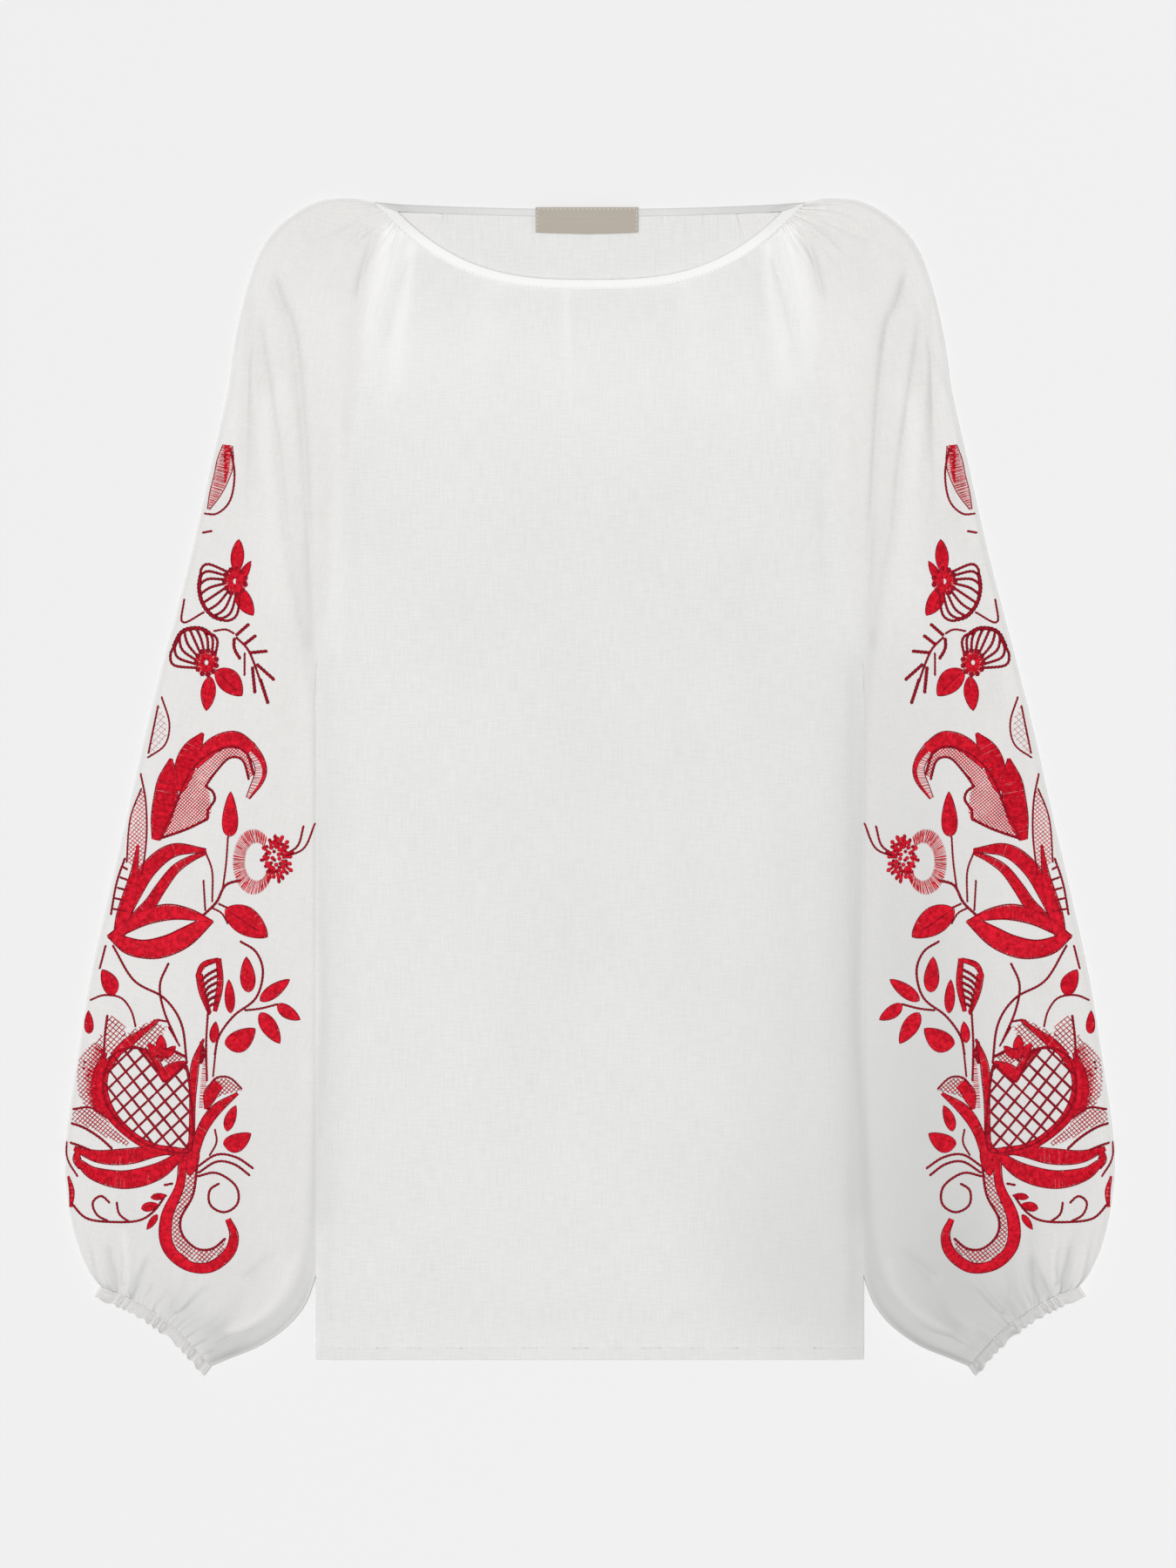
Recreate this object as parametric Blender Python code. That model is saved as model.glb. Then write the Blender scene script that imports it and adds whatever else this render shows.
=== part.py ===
"""An embroidered folk shirt, laid out flat on its back.

The front faces up (+Z) and the neck points to +Y. +X is the wearer's left.
The origin lies under the middle of the shirt, on the surface it rests on.
Every piece is one closed wall of cloth, and sizes are in millimetres until
a mesh is made. The back of the body and the under layers of the sleeves lie
flat on the surface; the front and the upper layers lie on them, in folds.
"""

import math
from collections import namedtuple

import bmesh
import bpy
import numpy as np

MM = 0.001

# Cloth and seams
WALL = 1.0
SEAM_GAP = 0.3
FRONT_Z = WALL + SEAM_GAP
FOLD_RADIUS = (2 * WALL + SEAM_GAP) / 2
FOLD_ANGLE = math.radians(30)

# Body
BODY_HALF_WIDTH = 163.3
HEM_Y = -341.1
HEM_DEPTH = 11.4
HEM_STEP = 0.4
UNDERARM_Y = 72.3

# Neck: a strip as wide at the back, and a little wider at the corners
NECK_HALF = 128.4
NECK_HOLE_HALF = 115.5
FRONT_NECK_Y = 296.9
FRONT_NECK_RISE = 51.6
FRONT_NECK_POWER = 2.9
FRONT_STRIP_WIDTH = 5.8
FRONT_HOLE_RISE = 41.6
BACK_NECK_Y = 344.8
BACK_NECK_RISE = 3.7
BACK_STRIP_WIDTH = 5.2
STRIP_THICKNESS = 2.0
STRIP_CROWN = 0.3
STRIP_STATIONS = 18
STRIP_LIFT_START = 0.72

# Neck label
LABEL_WIDTH = 61.0
LABEL_HEIGHT = 14.8
LABEL_WALL = 1.0
LABEL_BEND = 4.0

# Sleeves
SLEEVE_UPPER_COLUMNS = 26
SLEEVE_UNDER_COLUMNS = 7
SLEEVE_LOFT = 1.5
GATHER_HEIGHT = 0.8
NECK_GATHER_LENGTH = 38.0
CUFF_GATHER_LENGTH = 46.0
NECK_FIT_LENGTH = 30.0
CUFF_BOW = -6.5

# Elastic casing at the cuff
CASING_LENGTH = 7.1
CASING_RUFFLE = 0.5

# Body folds
BODY_COLUMNS = 24
BODY_LOFT = 0.7
EDGE_EASE = 16.0
MOST_RELIEF = 3.5

# How the stations of one sleeve follow each other from the neck to the cuff.
# front: upper layer at the front seam, back: under layer at the back seam,
# outer: the fold at the sleeve's outer side. Below the underarm the front
# and back meet in one fold beside the body.
Station = namedtuple("Station", "front_x front_y back_x back_y outer_x outer_y")
STATIONS = [
    Station(111.8, 330.1, 88.6, 339.9, 128.9, 349.4),
    Station(114.9, 318.2, 93.6, 327.1, 142.0, 351.0),
    Station(119.1, 304.7, 98.8, 311.0, 158.6, 350.3),
    Station(123.8, 289.1, 104.5, 292.2, 173.7, 343.7),
    Station(128.4, 271.4, 110.8, 271.4, 187.7, 332.3),
    Station(133.1, 251.7, 117.0, 249.1, 197.1, 318.2),
    Station(137.8, 228.3, 123.2, 225.7, 204.4, 297.4),
    Station(143.0, 199.7, 130.0, 198.6, 211.1, 268.3),
    Station(147.7, 168.5, 137.8, 167.4, 215.8, 236.1),
    Station(152.4, 137.3, 145.1, 136.2, 222.6, 205.9),
    Station(157.0, 105.0, 152.4, 104.0, 229.1, 176.3),
    Station(163.8, 72.3, 163.8, 72.3, 237.0, 141.4),
    Station(163.8, 35.9, 163.8, 35.9, 246.0, 106.1),
    Station(163.8, -5.7, 163.8, -5.7, 255.3, 70.7),
    Station(163.8, -49.9, 163.8, -49.9, 265.2, 30.7),
    Station(163.8, -96.7, 163.8, -96.7, 275.1, -13.5),
    Station(163.8, -143.5, 163.8, -143.5, 286.5, -62.9),
    Station(163.8, -190.3, 163.8, -190.3, 297.4, -112.3),
    Station(163.8, -231.9, 163.8, -231.9, 305.2, -160.2),
    Station(163.8, -265.7, 163.8, -265.7, 311.5, -203.3),
    Station(164.4, -286.5, 164.4, -286.5, 312.9, -229.3),
    Station(168.5, -304.2, 168.5, -304.2, 309.9, -254.3),
    Station(178.4, -320.3, 178.4, -320.3, 304.7, -274.6),
    Station(196.0, -333.3, 196.0, -333.3, 299.0, -287.6),
    Station(214.8, -341.1, 214.8, -341.1, 295.4, -293.3),
    Station(224.6, -345.3, 224.6, -345.3, 291.7, -297.4),
]
UNDERARM_STATION = 11
# Between these stations the outline bends most, so a row is added midway.
FINE_SPANS = ((0, 9), (17, 25))

# The largest folds of the upper side, on the wearer's left. A ridge has a
# positive height and a trough a negative one; reach is half its width.
# side is +1 for a fold of the wearer's left only, -1 right only, 0 for both.
Fold = namedtuple("Fold", "x0 y0 x1 y1 x2 y2 reach height side")
FOLDS = [
    Fold(190.3, 305.2, 170.6, 195.5, 164.8, 45.2, 4.5, -1.2, 0),
    Fold(199.0, 301.0, 180.5, 196.0, 171.5, 60.0, 5.5, 1.2, 0),
    Fold(195.5, 281.3, 189.0, 184.6, 167.0, 56.2, 3.5, -0.8, 0),
    Fold(203.8, 286.0, 206.5, 246.5, 204.9, 212.0, 4.0, -0.9, 0),
    Fold(108.7, 322.0, 119.1, 302.6, 131.6, 277.0, 4.5, 1.1, 0),
    Fold(103.0, 316.0, 109.3, 286.0, 116.6, 250.0, 4.5, 0.9, 0),
    Fold(120.1, 331.8, 131.0, 309.9, 141.4, 284.0, 3.8, -0.9, 0),
    Fold(128.0, 333.0, 146.0, 315.0, 158.0, 290.0, 5.0, 0.7, 0),
    Fold(227.2, -340.2, 200.0, -323.5, 174.6, -292.1, 5.5, -0.9, 0),
    Fold(226.0, -332.0, 204.0, -312.0, 186.0, -276.0, 6.5, 0.8, 0),
    Fold(144.0, 246.5, 143.0, 158.0, 141.4, 64.5, 6.0, 0.6, 0),
    Fold(252.0, -318.0, 250.0, -290.0, 262.0, -262.0, 5.0, 0.8, 0),
    Fold(280.0, -305.0, 284.0, -285.0, 296.0, -255.0, 5.0, 0.7, 0),
    Fold(14.0, 295.9, 13.0, 256.9, 11.4, 220.5, 5.0, 0.6, -1),
]

# Colours as linear red, green and blue
LINEN_WHITE = (0.86, 0.86, 0.85)
STRIP_WHITE = (0.92, 0.92, 0.91)
LABEL_BEIGE = (0.60, 0.54, 0.44)


def smooth_step(value):
    t = np.clip(value, 0.0, 1.0)
    return t * t * (3 - 2 * t)


def front_neck_edge(x):
    """The lower edge of the front strip, where the front is sewn to it."""
    return FRONT_NECK_Y + FRONT_NECK_RISE * np.abs(x / NECK_HALF) ** FRONT_NECK_POWER


def front_hole_edge(x):
    """The upper edge of the front strip."""
    low = FRONT_NECK_Y + FRONT_STRIP_WIDTH
    return low + FRONT_HOLE_RISE * np.abs(x / NECK_HOLE_HALF) ** FRONT_NECK_POWER


def back_neck_edge(x):
    """The top edge of the back strip."""
    return BACK_NECK_Y + BACK_NECK_RISE * (x / NECK_HALF) ** 2


def back_hole_edge(x):
    """The lower edge of the back strip, where the back is sewn to it."""
    return back_neck_edge(x) - BACK_STRIP_WIDTH


def fold_relief(x, y):
    """What the folds add to the height of the upper cloth at these points."""
    total = np.zeros_like(x)
    steps = np.linspace(0.0, 1.0, 25)
    for fold in FOLDS:
        along_x = bezier(fold.x0, fold.x1, fold.x2, steps)
        along_y = bezier(fold.y0, fold.y1, fold.y2, steps)
        apart = np.hypot(np.abs(x)[..., None] - along_x, y[..., None] - along_y)
        nearest = apart.argmin(axis=-1)
        distance = apart.min(axis=-1)
        fade = np.sin(np.pi * (0.08 + 0.84 * steps[nearest]))
        shown = (np.sign(x) == fold.side) if fold.side else True
        total += fold.height * np.exp(-((distance / fold.reach) ** 2)) * fade * shown
    return total


def bezier(start, middle, end, t):
    return (1 - t) ** 2 * start + 2 * t * (1 - t) * middle + t**2 * end


def upper_relief(x, y, loft, edge_distance):
    """The upper cloth's height over its lowest place, easing to 0 at edges."""
    ease = smooth_step(edge_distance / EDGE_EASE)
    raised = (loft + fold_relief(x, y)) * ease
    return np.clip(raised, 0.0, MOST_RELIEF)


def make_material(name, colour, roughness):
    material = bpy.data.materials.new(name)
    material.use_nodes = True
    shader = material.node_tree.nodes["Principled BSDF"]
    shader.inputs["Base Color"].default_value = (*colour, 1.0)
    shader.inputs["Roughness"].default_value = roughness
    shader.inputs["Metallic"].default_value = 0.0
    return material


def add_wall(name, material, outer, inner, quads):
    """One closed wall: an outer and an inner skin, with a rim at each edge."""
    count = len(outer)
    faces = list(quads)
    faces += [tuple(count + corner for corner in reversed(quad)) for quad in quads]
    edges = {}
    for quad in quads:
        for first, second in zip(quad, quad[1:] + quad[:1]):
            edges[(first, second)] = True
    for first, second in edges:
        if (second, first) not in edges:
            faces.append((second, first, count + first, count + second))
    points = np.concatenate([outer, inner]) * MM
    mesh = bpy.data.meshes.new(name)
    mesh.from_pydata([tuple(point) for point in points], [], faces)
    finish_mesh(mesh)
    piece = bpy.data.objects.new(name, mesh)
    piece.data.materials.append(material)
    bpy.context.scene.collection.objects.link(piece)
    return piece


def finish_mesh(mesh):
    """Splits the faces into triangles and turns them all to face outwards."""
    work = bmesh.new()
    work.from_mesh(mesh)
    bmesh.ops.remove_doubles(work, verts=work.verts, dist=1e-6)
    bmesh.ops.triangulate(work, faces=work.faces)
    bmesh.ops.recalc_face_normals(work, faces=work.faces)
    work.to_mesh(mesh)
    work.free()
    mesh.shade_smooth()
    mesh.set_sharp_from_angle(angle=math.radians(40))


def grid_quads(rows, columns):
    """The quads of a grid whose points are numbered row by row."""
    quads = []
    for row in range(rows - 1):
        for column in range(columns - 1):
            corner = row * columns + column
            quads.append((corner, corner + 1, corner + columns + 1, corner + columns))
    return quads


def stack(x, y, z):
    return np.stack([x, y, z], axis=-1).reshape(-1, 3)


def sleeve_rows():
    """The stations with the added rows, and the row of the underarm."""
    table = np.array(STATIONS)
    rows = [table[0]]
    underarm_row = 0
    for index in range(1, len(table)):
        if any(first < index <= last for first, last in FINE_SPANS):
            around = [min(max(index + k, 0), len(table) - 1) for k in (-2, -1, 0, 1)]
            before, start, end, after = table[around]
            rows.append((9 * (start + end) - before - after) / 16)
        rows.append(table[index])
        if index == UNDERARM_STATION:
            underarm_row = len(rows) - 1
    return np.array(rows), underarm_row


def body_rows(is_front):
    """Half widths and heights of the body's rows, from the hem to the neck."""
    rows, underarm_row = sleeve_rows()
    seam = rows[underarm_row::-1, 0:2] if is_front else rows[underarm_row::-1, 2:4]
    hem_top = HEM_Y + HEM_DEPTH
    low_y = [HEM_Y, hem_top, hem_top + 1.0]
    low_y += list(np.linspace(hem_top, UNDERARM_Y, 11)[1:-1])
    seam_half = np.minimum(seam[:, 0] - SEAM_GAP / 2, BODY_HALF_WIDTH)
    half = np.concatenate([[BODY_HALF_WIDTH] * len(low_y), seam_half])
    return half, np.concatenate([low_y, seam[:, 1]])


def body_plan(half, side_y, neck_edge, fit_length):
    """Plan points of a body panel whose top row follows the neck's edge."""
    across = np.linspace(-1.0, 1.0, BODY_COLUMNS + 1)
    x = half[:, None] * across[None, :]
    top_x = half[-1] * across
    drop = side_y[-1] - neck_edge(top_x)
    weight = smooth_step(1 - (side_y[-1] - side_y) / fit_length)
    return x, side_y[:, None] - weight[:, None] * drop[None, :]


def make_front(material):
    half, side_y = body_rows(is_front=True)
    x, y = body_plan(
        half, side_y, lambda at: front_neck_edge(at) - SEAM_GAP, fit_length=120.0
    )
    side_distance = (half[:, None] - np.abs(x)) + 0.6 * EDGE_EASE * (y > UNDERARM_Y)
    relief = upper_relief(x, y, BODY_LOFT, side_distance)
    hem = HEM_STEP * (y < HEM_Y + HEM_DEPTH + 0.5)
    under = FRONT_Z + relief
    outer = stack(x, y, under + WALL + hem)
    quads = grid_quads(*x.shape)
    return add_wall("front_panel", material, outer, stack(x, y, under), quads)


def make_back(material):
    half, side_y = body_rows(is_front=False)
    x, y = body_plan(
        half, side_y, lambda at: back_hole_edge(at) - SEAM_GAP, fit_length=40.0
    )
    flat = np.zeros_like(x)
    quads = grid_quads(*x.shape)
    return add_wall(
        "back_panel", material, stack(x, y, flat + WALL), stack(x, y, flat), quads
    )


def neck_fit(front_row, x):
    """How far up the strip's edge lies at x, where the sleeve is sewn to it."""
    if front_row:
        return front_neck_edge(np.minimum(x, NECK_HALF)) - SEAM_GAP
    outer_x, outer_y = STATIONS[0].outer_x, STATIONS[0].outer_y
    clear = back_hole_edge(x) - SEAM_GAP
    corner = smooth_step((x - NECK_HOLE_HALF) / (outer_x - NECK_HOLE_HALF))
    return clear + corner * (outer_y - clear)


def sleeve_layer(inner, outer, t, front_row):
    """Plan points of one layer of a sleeve, a row for each station."""
    away = outer - inner
    length = np.hypot(away[:, 0], away[:, 1])
    toward = away / length[:, None]
    start = inner + FOLD_RADIUS * toward
    end = outer - FOLD_RADIUS * toward
    plan = start[:, None, :] + t[None, :, None] * (end - start)[:, None, :]
    lift = neck_fit(front_row, plan[0, :, 0]) - plan[0, :, 1]
    down = np.hypot(*(inner - inner[0]).T)
    weight = smooth_step(1 - down / NECK_FIT_LENGTH)
    plan[:, :, 1] += weight[:, None] * lift[None, :]
    plan += cuff_bow(down, toward, t)
    return plan, toward


def cuff_bow(down, toward, t):
    """The cuff's line is drawn up in its middle by its elastic."""
    strength = smooth_step(1 - (down[-1] - down) / (2 * CUFF_GATHER_LENGTH))
    across = np.stack([toward[:, 1], -toward[:, 0]], axis=-1)
    arc = 4 * t * (1 - t)
    return CUFF_BOW * strength[:, None, None] * arc[None, :, None] * across[:, None, :]


def gather_waves(columns, down, length_left):
    """Gathers as a ridge at every second column, each of its own height."""
    index = np.arange(columns)
    uneven = 0.72 + 0.28 * np.sin(index * 2.4) * np.cos(index * 0.9)
    wave = (index % 2) * uneven
    neck = smooth_step(1 - down / NECK_GATHER_LENGTH)
    cuff = smooth_step(1 - length_left / CUFF_GATHER_LENGTH)
    return GATHER_HEIGHT * (neck + cuff)[:, None] * wave[None, :]


def sleeve_plans():
    """Both layers of the wearer's left sleeve, in plan."""
    rows, underarm_row = sleeve_rows()
    upper_t = np.linspace(0.0, 1.0, SLEEVE_UPPER_COLUMNS)
    under_t = np.linspace(0.0, 1.0, SLEEVE_UNDER_COLUMNS)
    upper, toward = sleeve_layer(rows[:, 0:2], rows[:, 4:6], upper_t, True)
    under, under_toward = sleeve_layer(rows[:, 2:4], rows[:, 4:6], under_t, False)
    return upper, toward, under, under_toward, underarm_row


def sleeve_relief(upper, side):
    """Heights of a sleeve's upper layer over its under layer."""
    x, y = upper[..., 0], upper[..., 1]
    steps = np.hypot(*np.diff(upper, axis=1).transpose(2, 0, 1))
    run = np.concatenate([np.zeros((len(x), 1)), np.cumsum(steps, axis=1)], axis=1)
    edge = np.minimum(run + EDGE_EASE * 0.6, run[:, -1:] - run)
    down = np.concatenate([[0.0], np.cumsum(np.hypot(*np.diff(upper[:, 0], axis=0).T))])
    ends = smooth_step((down[-1] - down) / 25.0) * smooth_step((down + 8) / 25.0)
    relief = upper_relief(side * x, y, SLEEVE_LOFT, edge) * ends[:, None]
    gathers = gather_waves(x.shape[1], down, down[-1] - down)
    return relief + gathers * smooth_step(edge / 4.0)


def sleeve_ring(upper, toward, under, under_toward, relief, slit_rows):
    """The outer and inner rings of points round both layers of a sleeve."""
    middle = FOLD_RADIUS
    out_x, out_z = FOLD_RADIUS * math.cos(FOLD_ANGLE), FOLD_RADIUS * math.sin(FOLD_ANGLE)
    in_radius = FOLD_RADIUS - WALL
    in_x, in_z = in_radius * math.cos(FOLD_ANGLE), in_radius * math.sin(FOLD_ANGLE)
    outer, inner = [], []
    for row in range(len(upper)):
        top = FRONT_Z + relief[row]
        face = np.column_stack([upper[row], top + WALL])
        lining = np.column_stack([upper[row], top])
        floor = np.column_stack([under[row], np.zeros(len(under[row]))])[::-1]
        inside = floor + (0.0, 0.0, WALL)
        fold = [
            (*(upper[row][-1] + toward[row] * out_x), middle + out_z),
            (*(under[row][-1] + under_toward[row] * out_x), middle - out_z),
        ]
        fold_in = [
            (*(upper[row][-1] + toward[row] * in_x), middle + in_z),
            (*(under[row][-1] + under_toward[row] * in_x), middle - in_z),
        ]
        first, last = upper[row][0], under[row][0]
        if row < slit_rows:
            near = FOLD_RADIUS - SEAM_GAP / 2
            edge = (first - toward[row] * near, last - under_toward[row] * near)
            heights = (face[0][2], 0.0, lining[0][2], WALL)
            start, start_in = (*edge[0], heights[0]), (*edge[0], heights[2])
            close, close_in = (*edge[1], heights[1]), (*edge[1], heights[3])
        else:
            start = (*(first - toward[row] * out_x), middle + out_z)
            start_in = (*(first - toward[row] * in_x), middle + in_z)
            close = (*(last - under_toward[row] * out_x), middle - out_z)
            close_in = (*(last - under_toward[row] * in_x), middle - in_z)
        outer.append(np.vstack([[start], face, fold, floor, [close]]))
        inner.append(np.vstack([[start_in], lining, fold_in, inside, [close_in]]))
    return np.array(outer), np.array(inner)


def ring_quads(rows, columns, slit_rows):
    """Grid quads, closed round each row that isn't part of the slit."""
    quads = grid_quads(rows, columns)
    for row in range(slit_rows, rows - 1):
        first = row * columns
        last = first + columns - 1
        quads.append((last, first, first + columns, last + columns))
    return quads


def make_sleeve(name, side, material):
    upper, toward, under, under_toward, slit_rows = sleeve_plans()
    relief = sleeve_relief(upper, side)
    outer, inner = sleeve_ring(upper, toward, under, under_toward, relief, slit_rows)
    quads = ring_quads(outer.shape[0], outer.shape[1], slit_rows)
    flip = np.array([side, 1.0, 1.0])
    return add_wall(
        name, material, outer.reshape(-1, 3) * flip, inner.reshape(-1, 3) * flip, quads
    )


def make_casing(name, side, material):
    """The narrow elastic casing that draws in the sleeve's end."""
    upper, toward, under, _, _ = sleeve_plans()
    outward = np.array([toward[-1][1], -toward[-1][0]])
    rows_upper, rows_under = [], []
    for distance in (SEAM_GAP, CASING_LENGTH / 2, CASING_LENGTH):
        rows_upper.append(upper[-1] + outward * distance)
        rows_under.append(under[-1] + outward * distance)
    rows_upper, rows_under = np.array(rows_upper), np.array(rows_under)
    index = np.arange(rows_upper.shape[1])
    ruffle = CASING_RUFFLE * (index % 2)
    edge_ruffle = np.array([0.6, 1.0, 1.4])
    relief = 0.3 + edge_ruffle[:, None] * ruffle[None, :]
    relief[:, 0] = relief[:, -1] = 0.0
    same = np.repeat(toward[-1:], 3, axis=0)
    outer, inner = sleeve_ring(rows_upper, same, rows_under, same, relief, 0)
    quads = ring_quads(outer.shape[0], outer.shape[1], 0)
    flip = np.array([side, 1.0, 1.0])
    return add_wall(
        name, material, outer.reshape(-1, 3) * flip, inner.reshape(-1, 3) * flip, quads
    )


def strip_station(part, front):
    """The section of the neck strip at one place, from part -1 to 1."""
    outer_x, inner_x = NECK_HALF * part, NECK_HOLE_HALF * part
    if front:
        outer_y, inner_y = front_neck_edge(outer_x), front_hole_edge(inner_x)
        lift = FRONT_Z
    else:
        outer_y, inner_y = back_neck_edge(outer_x), back_hole_edge(inner_x)
        rise = (abs(part) - STRIP_LIFT_START) / (0.94 - STRIP_LIFT_START)
        lift = FRONT_Z * smooth_step(rise)
    if abs(part) > 0.999:
        outer_y, inner_y = back_neck_edge(outer_x), back_hole_edge(inner_x)
    top = lift + STRIP_THICKNESS
    middle_x, middle_y = (outer_x + inner_x) / 2, (outer_y + inner_y) / 2
    return [
        (outer_x, outer_y, lift),
        (outer_x, outer_y, top),
        (middle_x, middle_y, top + STRIP_CROWN),
        (inner_x, inner_y, top),
        (inner_x, inner_y, lift),
    ]


def make_neck_strip(material):
    """The narrow strip that binds the neck, in one ring."""
    turn = np.linspace(-math.pi / 2, math.pi / 2, STRIP_STATIONS + 1)
    parts = np.sin(turn) * 0.6 + np.linspace(-1, 1, STRIP_STATIONS + 1) * 0.4
    sections = [strip_station(part, True) for part in parts]
    sections += [strip_station(part, False) for part in parts[-2:0:-1]]
    points = [point for section in sections for point in section]
    sides = len(sections[0])
    faces = []
    for index in range(len(sections)):
        here, there = index * sides, (index + 1) % len(sections) * sides
        for side in range(sides):
            along = (side + 1) % sides
            faces.append((here + side, here + along, there + along, there + side))
    mesh = bpy.data.meshes.new("neck_binding")
    mesh.from_pydata([tuple(np.array(point) * MM) for point in points], [], faces)
    finish_mesh(mesh)
    piece = bpy.data.objects.new("neck_binding", mesh)
    piece.data.materials.append(material)
    bpy.context.scene.collection.objects.link(piece)
    return piece


def make_label(material):
    """The bare woven label, sewn over the back strip and hanging below it."""
    x = np.linspace(-LABEL_WIDTH / 2, LABEL_WIDTH / 2, 5)
    top_y = back_neck_edge(0.0) - 0.2
    strip_y = back_hole_edge(0.0)
    y = np.array(
        [top_y, strip_y + 0.4, strip_y - LABEL_BEND / 2, strip_y - LABEL_BEND]
        + [top_y - LABEL_HEIGHT]
    )
    high = STRIP_THICKNESS + STRIP_CROWN + SEAM_GAP
    low = WALL + SEAM_GAP
    z = np.array([high, high, (high + low) / 2, low, low])
    plan_x, plan_y = np.meshgrid(x, y)
    under = np.repeat(z[:, None], len(x), axis=1)
    return add_wall(
        "neck_label",
        material,
        stack(plan_x, plan_y, under + LABEL_WALL),
        stack(plan_x, plan_y, under),
        grid_quads(*plan_x.shape),
    )


def clear_scene():
    for item in list(bpy.data.objects):
        bpy.data.objects.remove(item, do_unlink=True)


def main():
    clear_scene()
    linen = make_material("white_linen", LINEN_WHITE, 0.9)
    strip_linen = make_material("binding_linen", STRIP_WHITE, 0.85)
    casing_linen = make_material("casing_linen", LINEN_WHITE, 0.9)
    label_tape = make_material("woven_label", LABEL_BEIGE, 0.8)
    make_back(linen)
    make_front(linen)
    for name, side in (("left", 1.0), ("right", -1.0)):
        make_sleeve(f"sleeve_{name}", side, linen)
        make_casing(f"cuff_casing_{name}", side, casing_linen)
    make_neck_strip(strip_linen)
    make_label(label_tape)


main()
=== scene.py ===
# %% [markdown]
# # An embroidered folk shirt, laid flat
# The real object is a white linen blouse in an eastern European folk cut: a wide neck bound
# with a narrow strip, raglan sleeves gathered at both ends, a straight body and red crewel
# embroidery along the outer half of each sleeve. It lies on its back on a pale surface.
# The CAD frame already holds each piece of cloth as a plain solid wall. This file puts a
# finely creased shell on each of them, and sews and embroiders what the solids leave out.

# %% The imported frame
import itertools
import math
from collections import namedtuple
import bmesh
import bpy
import numpy as np
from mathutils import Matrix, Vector
from mathutils.bvhtree import BVHTree


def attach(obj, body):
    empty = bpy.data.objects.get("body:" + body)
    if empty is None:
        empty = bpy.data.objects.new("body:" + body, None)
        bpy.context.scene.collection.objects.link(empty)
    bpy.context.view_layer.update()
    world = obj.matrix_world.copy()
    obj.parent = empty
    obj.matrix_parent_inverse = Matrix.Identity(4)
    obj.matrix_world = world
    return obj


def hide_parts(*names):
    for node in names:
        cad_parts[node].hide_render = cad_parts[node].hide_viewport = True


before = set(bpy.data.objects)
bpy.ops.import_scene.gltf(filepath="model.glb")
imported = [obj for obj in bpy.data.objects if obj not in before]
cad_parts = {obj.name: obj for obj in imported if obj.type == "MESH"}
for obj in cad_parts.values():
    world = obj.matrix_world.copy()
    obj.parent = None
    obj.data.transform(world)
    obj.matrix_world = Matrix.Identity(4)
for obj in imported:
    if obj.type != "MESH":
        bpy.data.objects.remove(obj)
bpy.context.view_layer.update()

print("packed nodes:", sorted(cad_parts))

# %% [markdown]
# ## The picture's frame
# The shirt is seen from straight above. One photo pixel is 0.52 mm, so the picture shows
# 702 by 936 mm. A long lens far above keeps the outline free of perspective. The camera
# could look at an empty, but a straight drop needs no turn at all.

# %% Camera
MM = 0.001
CAMERA_OVER = (-1.04 * MM, 2.08 * MM)
CAMERA_HEIGHT = 2.5
PICTURE_LENGTH = 0.936
SENSOR = 36.0


def put(name, data, location=(0.0, 0.0, 0.0)):
    """Makes an object from its data and puts it in the scene."""
    made = bpy.data.objects.new(name, data)
    made.location = location
    bpy.context.scene.collection.objects.link(made)
    return made


camera_data = bpy.data.cameras.new("camera")
camera_data.sensor_width = SENSOR
camera_data.lens = SENSOR * CAMERA_HEIGHT / PICTURE_LENGTH
bpy.context.scene.camera = put("camera", camera_data, (*CAMERA_OVER, CAMERA_HEIGHT))
bpy.context.scene.view_settings.view_transform = "Standard"
print("lens in mm:", round(camera_data.lens, 2))

# %% [markdown]
# ## Nodes and colours
# Every finish below is built from nodes by a few small helpers. Colours are written as the
# hex values a paint program shows, and one function turns them into linear light.


# %% Helpers for finishes
def linear(code):
    """Turns an sRGB hex colour into the linear colour that a shader needs."""
    parts = [int(code[i : i + 2], 16) / 255 for i in (1, 3, 5)]
    return tuple(p / 12.92 if p <= 0.04045 else ((p + 0.055) / 1.055) ** 2.4 for p in parts)


def add_node(tree, kind, inputs=None, **settings):
    """Adds a node, sets its settings, and links or sets its inputs."""
    made = tree.nodes.new(kind)
    for name, value in settings.items():
        setattr(made, name, value)
    for socket, value in (inputs or {}).items():
        if isinstance(value, bpy.types.NodeSocket):
            tree.links.new(value, made.inputs[socket])
        else:
            made.inputs[socket].default_value = value
    return made


def new_finish(name, roughness, **sockets):
    """A material with its shader's values: returns the material and its tree."""
    material = bpy.data.materials.new(name)
    material.use_nodes = True
    tree = material.node_tree
    shader = tree.nodes["Principled BSDF"]
    for socket, value in {"Roughness": roughness, "IOR": 1.5, **sockets}.items():
        shader.inputs[socket.replace("_", " ")].default_value = value
    return material, tree


def object_place(tree):
    """Where a point lies on its piece, in metres."""
    return add_node(tree, "ShaderNodeTexCoord").outputs["Object"]


def reckon(tree, operation, *values):
    """One step of arithmetic on sockets or numbers."""
    return add_node(tree, "ShaderNodeMath", dict(enumerate(values)), operation=operation).outputs[0]


def stretch(tree, value, low, high):
    """Turns values from low to high into 0 to 1."""
    inputs = {"Value": value, "From Min": low, "From Max": high}
    return add_node(tree, "ShaderNodeMapRange", inputs).outputs["Result"]


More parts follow.
